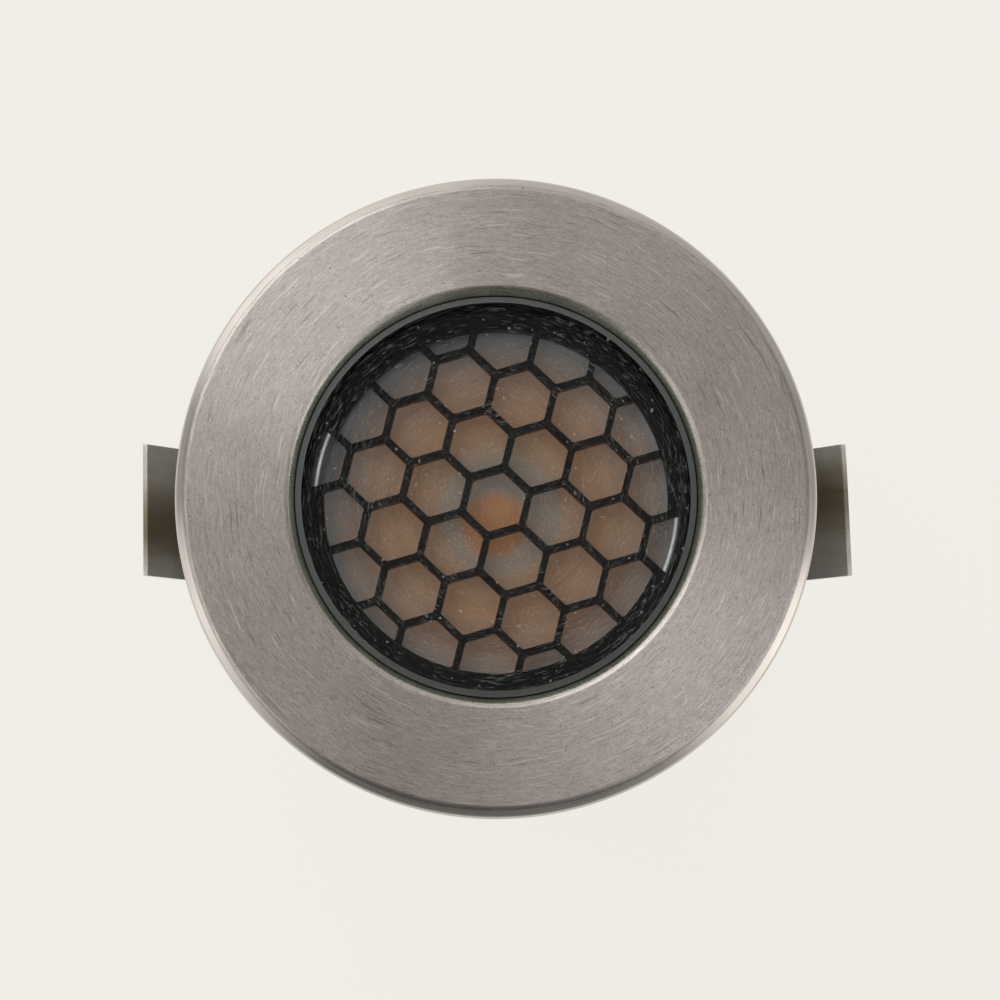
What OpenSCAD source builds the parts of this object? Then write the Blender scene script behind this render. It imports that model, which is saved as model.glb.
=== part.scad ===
// Recessed in-ground light with a stainless bezel, a honeycomb louvre and two spring clips.
// Millimetres. +Z points out of the face. The origin is on the axis, on the deck's surface,
// which is where the underside of the flange gasket rests.

/* [Bezel] */
// Width of the flange outside the spigot
flange_w = 5; // [4:0.1:8]
// Thickness of the bezel's flange
bezel_t = 3; // [2.6:0.1:4]
// Width of the chamfer round the bezel, seen from the front
chamfer_w = 1.1; // [0.5:0.1:1.8]
// Height of the chamfer round the bezel
chamfer_h = 1.4; // [0.6:0.1:2]
// Width of the countersunk lip round the glass
lip_w = 0.85; // [0.4:0.05:1]
// Depth of the spigot below the deck's surface
spigot_h = 9; // [8:0.5:11]
// Wall of the spigot round the housing's neck
spigot_wall = 2; // [1.6:0.1:3]
// Step between the pocket of the glass seal and the bore for the neck
pocket_step = 1.35; // [1:0.05:2]
// Chamfer on the spigot's end
spigot_chamfer = 0.6; // [0.2:0.1:1]

/* [Flange gasket] */
// Thickness of the gasket under the flange
gasket_t = 1; // [0.6:0.1:1.6]
// Distance of the gasket's outer edge from the bezel's edge
gasket_inset = 0.8; // [0.3:0.1:1.5]
// Depth of the groove that keeps the gasket on the spigot
gasket_groove = 0.5; // [0.3:0.1:0.8]

/* [Glass] */
// Width of the housing's rim under the glass
glass_seat_w = 2.5; // [2:0.1:4]
// Width of the step round the glass
glass_step_w = 2.25; // [1.6:0.05:3]
// Thickness of the glass at its middle
glass_t = 5; // [4.5:0.1:6]
// Thickness of the step round the glass
glass_step_t = 3.15; // [2.4:0.05:3.5]
// Width of the ground arris on the glass's upper edge
arris_w = 0.55; // [0.2:0.05:0.9]
// Depth of the glass's upper face below the bezel's face
glass_recess = 0.25; // [0.1:0.05:0.5]
// Gap between the glass and the bezel
glass_gap = 0.1; // [0.05:0.01:0.2]
// Chamfer on the glass's lower edge
glass_chamfer = 0.3; // [0.1:0.05:0.6]

/* [Glass seal] */
// Wall of the seal round the glass's edge
seal_wall = 0.55; // [0.4:0.05:0.8]
// Thickness of the seal's upper lip
seal_lip_t = 0.5; // [0.3:0.05:0.7]
// Thickness of the seal's lower lip
seal_foot_t = 0.8; // [0.5:0.05:1.2]

/* [Honeycomb louvre] */
// Distance between neighbouring cells
cell_pitch = 5.8; // [5.2:0.1:6.4]
// Thickness of the walls between the cells
cell_wall = 0.65; // [0.4:0.05:1]
// Angle of the first row of cells from +X
grid_turn = -13.65; // [-30:0.05:30]
// Width of the plain border round the cells
louvre_border = 1.95; // [1:0.05:3]
// Thickness of the louvre's plate
louvre_t = 3; // [2:0.1:4]
// Distance of the louvre's plate below the glass
louvre_drop = 1.5; // [1:0.1:2]
// Width of the raised rim on the louvre's edge
louvre_rim_w = 0.5; // [0.3:0.05:0.6]

/* [Optic] */
// Diameter of the optic's flange
optic_d = 35; // [31.5:0.5:40]
// Height of the optic
optic_h = 15.15; // [13:0.05:17]
// Thickness of the optic's flange
optic_flange_t = 1.5; // [1:0.1:2]
// Width of the optic's flange outside its cone
optic_flange_w = 0.9; // [0.6:0.1:1.2]
// Diameter of the optic's lower end
optic_foot_d = 11.2; // [10:0.1:12.4]
// Diameter of the pocket over the LED
optic_pocket_d = 8; // [7:0.1:9]
// Depth of the pocket over the LED
optic_pocket_h = 5; // [3:0.1:7]
// How much narrower the pocket is at its top than at its mouth, on the radius
optic_pocket_taper = 0.4; // [0.1:0.1:1]
// Wall of the holder round the optic
holder_wall = 0.6; // [0.4:0.05:0.8]
// Wall of the holder's cone
holder_cone_wall = 1; // [0.7:0.05:1.3]
// Height of the holder's foot ring
holder_foot_h = 1; // [0.6:0.1:1.2]
// Width of the holder's foot ring outside its cone
holder_foot_w = 0.6; // [0.4:0.1:1.4]

/* [LED and its board] */
// Width of the LED's base
led_w = 5; // [3.5:0.1:5.4]
// Height of the LED's base
led_base_h = 0.9; // [0.6:0.05:1.2]
// Diameter of the LED's phosphor
phosphor_d = 4.2; // [3:0.1:4.8]
// Height of the LED's phosphor
phosphor_h = 0.35; // [0.2:0.05:0.6]
// Distance between the LED board's edge and the heads of the carrier screws
led_board_gap = 0.5; // [0.3:0.1:1]
// Thickness of the LED board
led_board_t = 1.6; // [1:0.1:2]
// Thickness of the thermal pad
pad_t = 0.5; // [0.3:0.1:1]
// Distance of the pad's edge inside the board's edge
pad_inset = 0.5; // [0.2:0.1:1]
// Thickness of the heat carrier
carrier_t = 3; // [2.4:0.1:5]
// Distance of the board screws' heads from the board's edge
board_screw_inset = 0.7; // [0.3:0.1:1]
// Distance of the carrier screws' heads from the housing's bore
carrier_screw_inset = 0.2; // [0.1:0.05:0.5]

/* [Housing] */
// Step between the housing's neck and its body
body_step = 0.95; // [0.5:0.05:1.4]
// Distance of the housing's bottom below the feet of the clips
body_margin = 0.6; // [0.4:0.1:4]
// Wall between the driver's space and the carrier screws
driver_wall = 0.95; // [0.6:0.05:2]
// Thickness of the housing's bottom
bottom_t = 4; // [3.4:0.1:5]
// Chamfer round the housing's bottom
bottom_chamfer = 1.2; // [0.4:0.1:2]
// Number of cooling grooves
groove_count = 4; // [1:1:4]
// Distance between neighbouring cooling grooves
groove_pitch = 2.6; // [2:0.1:2.8]
// Width of a cooling groove
groove_w = 1.3; // [0.8:0.1:1.6]
// Depth of a cooling groove
groove_depth = 1; // [0.5:0.1:1.3]
// Thickness of the ring of the neck's O-ring
o_ring_t = 1.16; // [1:0.02:1.4]

/* [Spring clips] */
// Width of the spring strip
clip_w = 12.7; // [11:0.1:14]
// Thickness of the spring strip
clip_t = 0.5; // [0.4:0.05:0.7]
// How far the leaf's end stands out past the bezel's edge
clip_reach = 4; // [2:0.1:6]
// Distance of the leaf's end below the end of the spigot, at rest
clip_tip_drop = 4; // [3.5:0.1:6]
// Angle of the leaf from the housing's side, at rest
leaf_angle = 28; // [26:0.5:30]
// Angle of the leaf from the housing's side, when it is pressed in for the hole
leaf_pressed = 6.5; // [4:0.5:12]
// Inner radius of the strip's bend
bend_r = 1.5; // [1:0.1:2]
// Length of the clip's flat foot
foot_l = 13.5; // [12:0.1:14]
// Distance of the clip's screw above the foot's end
screw_up = 6; // [5:0.1:7]
// Depth of the housing's slot for the clip
slot_depth = 2; // [1.8:0.1:2.2]
// Bevel on the corners of the clip's foot
foot_corner = 1.4; // [0.5:0.1:2.5]

/* [Screws] */
// Thread diameter of the clip screws
clip_screw_d = 3; // [2.5:0.1:3.2]
// Length of the clip screws
clip_screw_l = 4.5; // [4:0.1:4.8]
// Thread diameter of the board screws and the carrier screws
small_screw_d = 2; // [1.8:0.1:2.2]
// Length of the carrier screws
carrier_screw_l = 7; // [5:0.5:8]

/* [Driver] */
// Wall of the driver's insulating cup
cup_wall = 0.8; // [0.6:0.05:1]
// Space between the heat carrier and the upper capacitor
driver_air = 1.45; // [0.5:0.05:3]
// Space between the input terminal and the cup's bottom
terminal_air = 0.5; // [0.3:0.1:2]
// Thickness of the driver board
driver_board_t = 1.6; // [1:0.1:2]
// Diameter of the inductor
inductor_d = 7.6; // [6:0.1:8]
// Height of the inductor
inductor_h = 5; // [4:0.1:6]
// Diameter of the capacitors
capacitor_d = 6.3; // [5:0.1:7]
// Height of the capacitors
capacitor_h = 7.2; // [5:0.1:8]
// Outer diameter of the LED wires
wire_d = 1.2; // [0.8:0.1:1.4]
// Width of the input terminal
terminal_w = 7.6; // [7:0.1:8]
// Height of the input terminal
terminal_h = 8; // [7:0.1:9]

/* [Cable gland] */
// Diameter of the cable that the gland takes
cable_d = 6.2; // [5:0.1:7]
// Thread diameter of the gland
gland_thread_d = 12; // [11:0.1:13]
// Width of the gland's hexagon across its flats
gland_af = 16; // [15.2:0.1:18]
// Thickness of the gland's hexagon
gland_hex_t = 4.5; // [3:0.1:6]
// Length of the gland's neck below its hexagon
gland_neck_l = 6.2; // [5:0.1:8]
// Wall of the gland nut round the neck
nut_wall = 0.6; // [0.4:0.1:2]
// Length of the gland nut
nut_l = 11; // [10:0.1:13]
// Thickness of the washer under the gland
gland_washer_t = 0.8; // [0.5:0.1:1.2]
// Wall of the rubber insert round the cable
gland_seal_wall = 1.8; // [1.4:0.1:2]
// Wall of the gland's neck round the insert
gland_neck_wall = 1.6; // [1.2:0.1:1.7]

/* [Hidden] */
$fn = 96;

// Clearances, each used wherever two pieces of that kind meet
thread_gap = 0.05;
loose_gap = 0.3;
snug_gap = 0.1;
optic_gap = 0.35;
hinge_gap = 0.04;
cut = 0.1;

// Heights of the stack, from the face down
z_face = gasket_t + bezel_t;
z_glass_top = z_face - glass_recess;
z_glass_bottom = z_glass_top - glass_t;
z_step_top = z_glass_bottom + glass_step_t;
z_ledge = z_step_top + seal_lip_t;
z_rim = z_glass_bottom - seal_foot_t;
z_louvre_top = z_glass_bottom - louvre_drop;
z_optic_top = z_louvre_top - louvre_t;
z_optic_foot = z_optic_top - optic_h;
z_phosphor_top = z_optic_foot - snug_gap;
z_led_top = z_phosphor_top - phosphor_h;
z_board_top = z_led_top - led_base_h;
z_pad_top = z_board_top - led_board_t;
z_carrier_top = z_pad_top - pad_t;
z_shoulder = z_carrier_top - carrier_t;
z_driver_top = z_shoulder - driver_air - capacitor_h;
z_driver_under = z_driver_top - driver_board_t;

// Radii of the stack, from the optic outwards to the flange
optic_r = optic_d / 2;
holder_r = optic_r + snug_gap + holder_wall;
grid_r = holder_r - louvre_border;
bore_r = holder_r + loose_gap;
step_r = bore_r + glass_seat_w;
glass_r = step_r - glass_step_w;
land_r = glass_r + glass_gap;
opening_r = land_r + lip_w;
seal_r = step_r + thread_gap + seal_wall;
pocket_r = seal_r + thread_gap;
neck_bore_r = pocket_r + pocket_step;
neck_r = neck_bore_r - thread_gap;
body_r = neck_r - body_step;
spigot_r = neck_bore_r + spigot_wall;
bezel_r = spigot_r + flange_w;

// Neck of the housing and its O-ring
spigot_end_gap = 0.4;
neck_end = -spigot_h + spigot_end_gap;
neck_relief = 1;
o_ring_r = neck_bore_r - o_ring_t / 2 - thread_gap / 2;
o_groove_r = o_ring_r - o_ring_t / 2 - thread_gap / 2;
o_groove_w = o_ring_t + loose_gap;
o_groove_z = neck_end + 1.4;
groove_drop = 2.5;
first_groove_z = -spigot_h - groove_drop;

// Spring clip: the strip lies on the slot's floor, bends outward and rises to its free end
slot_x = body_r - slot_depth;
slot_w = clip_w + 0.4;
strip_x = slot_x + clip_t / 2;
bend_mid_r = bend_r + clip_t / 2;
knuckle_r = clip_t * 0.6;
knuckle_up = knuckle_r + hinge_gap;
pivot_x = strip_x + bend_mid_r * (1 - cos(leaf_angle)) + knuckle_up * sin(leaf_angle);
tip_x = bezel_r + clip_reach - clip_t / 2 * cos(leaf_angle);
leaf_l = (tip_x - pivot_x) / sin(leaf_angle);
pivot_z = -spigot_h - clip_tip_drop - leaf_l * cos(leaf_angle);
bend_z = pivot_z - bend_mid_r * sin(leaf_angle) - knuckle_up * cos(leaf_angle);
foot_end_z = bend_z - foot_l;
clip_screw_z = foot_end_z + screw_up;
slot_top = pivot_z + (body_r + loose_gap - pivot_x + clip_t / 2) / tan(leaf_pressed);

// Bottom of the housing: as low as the feet of the clips need, or the driver, whichever is lower
z_under_clips = foot_end_z - body_margin;
z_under_driver = z_driver_under - terminal_h - terminal_air - cup_wall - bottom_t;
z_bottom = min(z_under_clips, z_under_driver);
z_floor = z_bottom + bottom_t;

// Screws
small_hole_r = small_screw_d / 2 + 0.15;
small_thread_r = small_screw_d / 2 + thread_gap;
blind_end = 0.5;
clip_hole_r = clip_screw_d / 2 + 0.2;
clip_thread_r = clip_screw_d / 2 + thread_gap;
clip_washer_r = clip_screw_d + 0.5;
clip_washer_t = 0.5;
clip_thread_l = clip_screw_l - clip_t - clip_washer_t + loose_gap;
clip_head_r = clip_screw_d * 0.95;
clip_head_h = clip_screw_d * 0.6;
small_head_r = small_screw_d * 0.95;
small_head_h = small_screw_d * 0.7;
carrier_screw_r = bore_r - carrier_screw_inset - small_head_r;
led_board_r = carrier_screw_r - small_head_r - led_board_gap;
board_screw_r = led_board_r - board_screw_inset - small_head_r;
driver_bore_r = carrier_screw_r - small_thread_r - driver_wall;
socket_depth = 0.6;
socket_width = 0.5;
board_screw_angles = [30, 150, 270];
carrier_screw_angles = [0, 120, 240];

// Driver's cup, the LED wires beside its wall and what stands on the driver board
cup_r = driver_bore_r - snug_gap;
cup_bore_r = cup_r - cup_wall;
cup_top = z_shoulder - 0.6;
cup_ledge_w = 1.1;
driver_board_r = cup_bore_r - snug_gap;
wire_r = wire_d / 2;
wire_inset = 0.7;
wire_at = cup_bore_r - wire_inset - wire_r;
wire_turn_r = 1.1;
wire_hole_r = wire_r + loose_gap;
plus_angle = 100;
minus_angle = 80;
inductor_at = [-4.6, -2.4, 0];
upper_capacitor_at = [5.2, -3.6, 0];
lower_capacitor_at = [5.4, 4, 0];
controller = [[-3, 3.2], [5, 4, 1.5]];
first_diode = [[4, 2.2], [4.4, 2.6, 2.1]];
second_diode = [[-2, -8.8], [4.4, 2.6, 2.1]];
sense_resistor = [[-8.6, 4.4], [3.2, 1.6, 0.6]];
terminal_x = -8.6;
terminal_depth = 6.2;
terminal_screw_r = 1.2;
terminal_screw_depth = 4;
terminal_mouth_r = 1;
terminal_mouth_up = 5.4;
terminal_mouth_depth = 1.5;

// Gland
gland_thread_r = gland_thread_d / 2;
cable_r = cable_d / 2;
gland_bore_r = cable_r + 0.5;
hex_inset = 0.2;
gland_seal_r = cable_r + gland_seal_wall;
gland_neck_r = gland_seal_r + thread_gap + gland_neck_wall;
z_gland_hex = z_bottom - gland_washer_t;
z_gland_neck = z_gland_hex - gland_hex_t;
z_gland_end = z_gland_neck - gland_neck_l;
nut_gap = 0.8;
z_nut_top = z_gland_neck - nut_gap;
nut_r = gland_neck_r + thread_gap + nut_wall;
nut_af = 2 * (nut_r + loose_gap);
z_nut_end = z_nut_top - nut_l;
nut_mouth_t = 2;
seal_sink = 1;
z_seal_top = z_gland_neck - seal_sink;
z_seal_end = z_nut_end + nut_mouth_t + snug_gap;

// Colours, as seen or as usual for the material
steel = [0.62, 0.59, 0.56];
spring_steel = [0.55, 0.53, 0.49];
black_plastic = [0.05, 0.05, 0.05];
black_metal = [0.13, 0.13, 0.14];
black_rubber = [0.08, 0.08, 0.08];
bare_aluminium = [0.75, 0.76, 0.78];
frosted = [0.55, 0.47, 0.40];

// Radius of the optic's cone at the share u of its height, from its foot to its flange
optic_cone_power = 0.75;
function optic_cone_r(u) =
    optic_foot_d / 2 + (optic_r - optic_flange_w - optic_foot_d / 2) * pow(u, optic_cone_power);

// Points up the optic's cone, with extra added to every radius
function cone_points(extra, steps) = [
    for (i = [0 : steps]) [optic_cone_r(i / steps) + extra,
                           z_optic_foot + (optic_h - optic_flange_t) * i / steps]
];

function reversed(points) = [for (i = [len(points) - 1 : -1 : 0]) points[i]];

cone_steps = 10;

// A ring with a rectangular section
module ring(r_out, r_in, z_top, z_low) {
    translate([0, 0, z_low])
        difference() {
            cylinder(r = r_out, h = z_top - z_low);
            translate([0, 0, -cut]) cylinder(r = r_in, h = z_top - z_low + 2 * cut);
        }
}

// A round bar between two heights
module bar(r, z_top, z_low) {
    translate([0, 0, z_low]) cylinder(r = r, h = z_top - z_low);
}

// A hexagonal bar with its corners turned off at both ends, at 30 degrees
module hex_bar(af, z_top, z_low) {
    face_r = af / 2 - hex_inset;
    corner_r = af / sqrt(3);
    drop = (corner_r + cut - face_r) * tan(30);
    intersection() {
        translate([0, 0, z_low]) cylinder(r = corner_r, h = z_top - z_low, $fn = 6);
        rotate_extrude()
            polygon([
                [0, z_low],
                [face_r, z_low],
                [corner_r + cut, z_low + drop],
                [corner_r + cut, z_top - drop],
                [face_r, z_top],
                [0, z_top]
            ]);
    }
}

// Puts its children at a radius, at each of the angles
module around(angles, radius) {
    for (a = angles) rotate([0, 0, a]) translate([radius, 0, 0]) children();
}

// Cylinder-head screw, pointing down, its head's seat at the origin, with a hexagon socket
module socket_screw(d, head_r, head_h, length) {
    difference() {
        union() {
            cylinder(r = head_r, h = head_h);
            translate([0, 0, -length]) cylinder(d = d, h = length + cut);
        }
        translate([0, 0, head_h - socket_depth * head_h])
            cylinder(r = socket_width * head_r, h = head_h, $fn = 6);
    }
}

// Turned ring: chamfered flange, countersunk lip, ledge over the glass seal and spigot
module bezel() {
    color(steel)
        rotate_extrude()
            polygon([
                [opening_r, z_face],
                [bezel_r - chamfer_w, z_face],
                [bezel_r, z_face - chamfer_h],
                [bezel_r, gasket_t],
                [spigot_r - gasket_groove, gasket_t],
                [spigot_r - gasket_groove, 0],
                [spigot_r, 0],
                [spigot_r, -spigot_h + spigot_chamfer],
                [spigot_r - spigot_chamfer, -spigot_h],
                [neck_bore_r, -spigot_h],
                [neck_bore_r, z_rim + neck_relief],
                [pocket_r, z_rim + neck_relief],
                [pocket_r, z_ledge],
                [land_r, z_ledge],
                [land_r, z_face - lip_w]
            ]);
}

// Foam ring that the flange squeezes on the deck. Its inner edge lies in the spigot's groove
// and is bevelled below, so that the face on the deck starts outside the spigot.
module flange_gasket() {
    inner_r = spigot_r - gasket_groove + snug_gap;
    outer_r = bezel_r - gasket_inset;
    color(black_rubber)
        rotate_extrude()
            polygon([
                [inner_r, gasket_t],
                [inner_r, gasket_t / 2],
                [spigot_r + snug_gap, 0],
                [outer_r, 0],
                [outer_r, gasket_t]
            ]);
}

// Stepped glass: its middle stands in the bezel's opening and its step lies in the seal
module glass_lens() {
    color([0.75, 0.82, 0.8, 0.35])
        rotate_extrude()
            polygon([
                [0, z_glass_bottom],
                [step_r - glass_chamfer, z_glass_bottom],
                [step_r, z_glass_bottom + glass_chamfer],
                [step_r, z_step_top],
                [glass_r, z_step_top],
                [glass_r, z_glass_top - arris_w],
                [glass_r - arris_w, z_glass_top],
                [0, z_glass_top]
            ]);
}

// U-section ring round the step of the glass, squeezed between the bezel and the housing's rim
module glass_seal() {
    color(black_rubber)
        rotate_extrude()
            polygon([
                [bore_r + snug_gap, z_rim],
                [seal_r, z_rim],
                [seal_r, z_ledge],
                [glass_r + loose_gap, z_ledge],
                [glass_r + loose_gap, z_step_top],
                [seal_r - seal_wall, z_step_top],
                [seal_r - seal_wall, z_glass_bottom],
                [bore_r + snug_gap, z_glass_bottom]
            ]);
}

// O-ring in the neck's groove, inside the spigot
module neck_o_ring() {
    color(black_rubber)
        translate([0, 0, o_groove_z])
            rotate_extrude()
                translate([o_ring_r, 0]) circle(d = o_ring_t, $fn = 32);
}

// One cell's opening, with its flats towards its neighbours
module cell_opening() {
    rotate(30) circle(r = (cell_pitch - cell_wall) / sqrt(3), $fn = 6);
}

// All cells of the grid, out to the last ring that reaches inside its edge
module cell_openings() {
    rings = ceil(grid_r / cell_pitch);
    for (i = [-rings : rings])
        for (j = [max(-rings, -i - rings) : min(rings, -i + rings)])
            translate([cell_pitch * (i + j / 2), cell_pitch * j * sqrt(3) / 2]) cell_opening();
}

// Moulded grid with a raised rim, and two cells left open over the optic's edge
module honeycomb_louvre() {
    window_at = round(grid_r / cell_pitch) * cell_pitch;
    color(black_plastic)
        union() {
            translate([0, 0, z_optic_top])
                linear_extrude(louvre_t)
                    difference() {
                        circle(r = holder_r);
                        rotate(grid_turn) {
                            intersection() {
                                cell_openings();
                                circle(r = grid_r);
                            }
                            intersection() {
                                for (x = [-window_at, window_at]) translate([x, 0]) cell_opening();
                                circle(r = optic_r);
                            }
                        }
                    }
            ring(holder_r, holder_r - louvre_rim_w, z_glass_bottom - snug_gap, z_optic_top);
        }
}

// Collimating optic: flange, curved cone and a pocket over the LED
module tir_optic() {
    color(frosted)
        rotate_extrude()
            polygon(concat(
                [[0, z_optic_foot + optic_pocket_h],
                 [optic_pocket_d / 2 - optic_pocket_taper, z_optic_foot + optic_pocket_h],
                 [optic_pocket_d / 2, z_optic_foot]],
                cone_points(0, cone_steps),
                [[optic_r, z_optic_top - optic_flange_t],
                 [optic_r, z_optic_top],
                 [0, z_optic_top]]
            ));
}

// Moulded cup that carries the optic by its flange and stands on the LED board
module optic_holder() {
    foot_out = optic_foot_d / 2 + optic_gap + holder_cone_wall + holder_foot_w;
    z_collar = z_optic_top - optic_flange_t - holder_cone_wall;
    color(black_plastic)
        rotate_extrude()
            polygon(concat(
                cone_points(optic_gap, cone_steps),
                [[optic_r + snug_gap, z_optic_top - optic_flange_t],
                 [optic_r + snug_gap, z_optic_top],
                 [holder_r, z_optic_top],
                 [holder_r, z_collar]],
                reversed([for (p = cone_points(optic_gap + holder_cone_wall, cone_steps))
                    if (p[1] > z_optic_foot && p[1] < z_collar && p[0] < holder_r) p]),
                [[foot_out, z_board_top + holder_foot_h],
                 [foot_out, z_board_top],
                 [optic_foot_d / 2 + optic_gap, z_board_top]]
            ));
}

// Yellow phosphor on the LED
module led_phosphor() {
    color([0.93, 0.72, 0.2])
        bar(phosphor_d / 2, z_phosphor_top, z_led_top);
}

// Ceramic base of the LED
module led_base() {
    color([0.9, 0.9, 0.86])
        translate([-led_w / 2, -led_w / 2, z_board_top]) cube([led_w, led_w, led_base_h]);
}

// Holes that the LED wires pass through
module wire_holes(z_top, z_low) {
    around([plus_angle, minus_angle], wire_at) bar(wire_hole_r, z_top + cut, z_low - cut);
}

// Round aluminium board with three screw holes and two wire holes
module led_board() {
    color([0.92, 0.93, 0.92])
        difference() {
            bar(led_board_r, z_board_top, z_pad_top);
            around(board_screw_angles, board_screw_r)
                bar(small_hole_r, z_board_top + cut, z_pad_top - cut);
            wire_holes(z_board_top, z_pad_top);
        }
}

// Three screws that hold the board on the carrier
module board_screws() {
    screw_l = led_board_t + pad_t + carrier_t - blind_end;
    color(bare_aluminium)
        around(board_screw_angles, board_screw_r)
            translate([0, 0, z_board_top])
                socket_screw(small_screw_d, small_head_r, small_head_h, screw_l);
}

// Soft pad that passes heat from the board to the carrier
module thermal_pad() {
    color([0.45, 0.6, 0.75])
        difference() {
            bar(led_board_r - pad_inset, z_pad_top, z_carrier_top);
            around(board_screw_angles, board_screw_r)
                bar(small_hole_r, z_pad_top + cut, z_carrier_top - cut);
            wire_holes(z_pad_top, z_carrier_top);
        }
}

// Aluminium disc on the housing's shoulder
module heat_carrier() {
    color(bare_aluminium)
        difference() {
            bar(bore_r - snug_gap, z_carrier_top, z_shoulder);
            around(board_screw_angles, board_screw_r)
                bar(small_thread_r, z_carrier_top + cut, z_shoulder - cut);
            around(carrier_screw_angles, carrier_screw_r)
                bar(small_hole_r, z_carrier_top + cut, z_shoulder - cut);
            wire_holes(z_carrier_top, z_shoulder);
        }
}

// Three screws that hold the carrier on the shoulder
module carrier_screws() {
    color(bare_aluminium)
        around(carrier_screw_angles, carrier_screw_r)
            translate([0, 0, z_carrier_top])
                socket_screw(small_screw_d, small_head_r, small_head_h, carrier_screw_l);
}

// One LED wire: up from the driver board, over, and down on the LED board's pad
module led_wire(angle) {
    z_turn = z_board_top + 0.5;
    rotate([0, 0, angle]) {
        translate([wire_at, 0, 0]) bar(wire_r, z_turn, z_driver_top);
        translate([wire_at - wire_turn_r, 0, z_turn])
            rotate([90, 0, 0])
                rotate_extrude(angle = 180)
                    translate([wire_turn_r, 0]) circle(r = wire_r, $fn = 24);
        translate([wire_at - 2 * wire_turn_r, 0, 0]) bar(wire_r, z_turn, z_board_top);
    }
}

module led_wire_plus() {
    color([0.7, 0.08, 0.06]) led_wire(plus_angle);
}

module led_wire_minus() {
    color([0.06, 0.06, 0.06]) led_wire(minus_angle);
}

// Insulating liner: open at its top, with a ledge for the board and a hole for the cable
module driver_cup() {
    color([0.85, 0.85, 0.82])
        rotate_extrude()
            polygon([
                [gland_thread_r, z_floor],
                [cup_r, z_floor],
                [cup_r, cup_top],
                [cup_bore_r, cup_top],
                [cup_bore_r, z_driver_under],
                [cup_bore_r - cup_ledge_w, z_driver_under],
                [cup_bore_r - cup_ledge_w, z_floor + cup_wall],
                [gland_thread_r, z_floor + cup_wall]
            ]);
}

// Round circuit board of the driver
module driver_board() {
    color([0.1, 0.35, 0.18])
        bar(driver_board_r, z_driver_top, z_driver_under);
}

// Wound inductor: two flanges and a waist
module driver_inductor() {
    flange_t = 1;
    waist_r = inductor_d / 2 - 0.5;
    color([0.25, 0.25, 0.27])
        translate(inductor_at) {
            bar(inductor_d / 2, z_driver_top + flange_t, z_driver_top);
            bar(waist_r, z_driver_top + inductor_h - flange_t, z_driver_top + flange_t);
            bar(inductor_d / 2, z_driver_top + inductor_h, z_driver_top + inductor_h - flange_t);
        }
}

// Two capacitors: one beside the inductor and one under the board
module driver_capacitors() {
    color([0.2, 0.22, 0.3]) {
        translate(upper_capacitor_at)
            bar(capacitor_d / 2, z_driver_top + capacitor_h, z_driver_top);
        translate(lower_capacitor_at)
            bar(capacitor_d / 2, z_driver_under, z_driver_under - capacitor_h);
    }
}

// Controller, two diodes and a sense resistor, all flat on the board
module driver_chips() {
    color([0.09, 0.09, 0.1])
        for (chip = [controller, first_diode, second_diode, sense_resistor])
            translate([chip[0][0], chip[0][1], z_driver_top]) cube(chip[1]);
}

// Two-way screw terminal for the cable, under the board
module input_terminal() {
    color([0.12, 0.38, 0.2])
        translate([terminal_x, -terminal_depth / 2, z_driver_under - terminal_h])
            difference() {
                cube([terminal_w, terminal_depth, terminal_h]);
                for (x = [terminal_w / 4, terminal_w * 3 / 4]) {
                    translate([x, terminal_depth / 2, -cut])
                        cylinder(r = terminal_screw_r, h = terminal_screw_depth);
                    translate([x, -cut, terminal_mouth_up])
                        rotate([-90, 0, 0])
                            cylinder(r = terminal_mouth_r, h = terminal_mouth_depth);
                }
            }
}

// Turned can: neck, cooling grooves, stepped bore, closed bottom and two clip slots
module housing() {
    color(black_metal)
        difference() {
            rotate_extrude()
                polygon([
                    [bore_r, z_rim],
                    [neck_r, z_rim],
                    [neck_r, neck_end],
                    [body_r, neck_end],
                    [body_r, z_bottom + bottom_chamfer],
                    [body_r - bottom_chamfer, z_bottom],
                    [gland_thread_r + thread_gap, z_bottom],
                    [gland_thread_r + thread_gap, z_floor],
                    [driver_bore_r, z_floor],
                    [driver_bore_r, z_shoulder],
                    [bore_r, z_shoulder]
                ]);
            ring(neck_r + cut, o_groove_r, o_groove_z + o_groove_w / 2, o_groove_z - o_groove_w / 2);
            for (i = [0 : groove_count - 1])
                ring(body_r + 1, body_r - groove_depth,
                     first_groove_z - i * groove_pitch, first_groove_z - i * groove_pitch - groove_w);
            around(carrier_screw_angles, carrier_screw_r)
                bar(small_thread_r, z_shoulder + cut, z_carrier_top - carrier_screw_l - blind_end);
            for (side = [0, 180])
                rotate([0, 0, side]) {
                    translate([slot_x, -slot_w / 2, z_bottom - 1])
                        cube([slot_depth + 1, slot_w, slot_top - z_bottom + 1]);
                    translate([slot_x, 0, clip_screw_z])
                        rotate([0, -90, 0])
                            translate([0, 0, -cut])
                                cylinder(r = clip_thread_r, h = clip_thread_l + cut);
                }
        }
}

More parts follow.
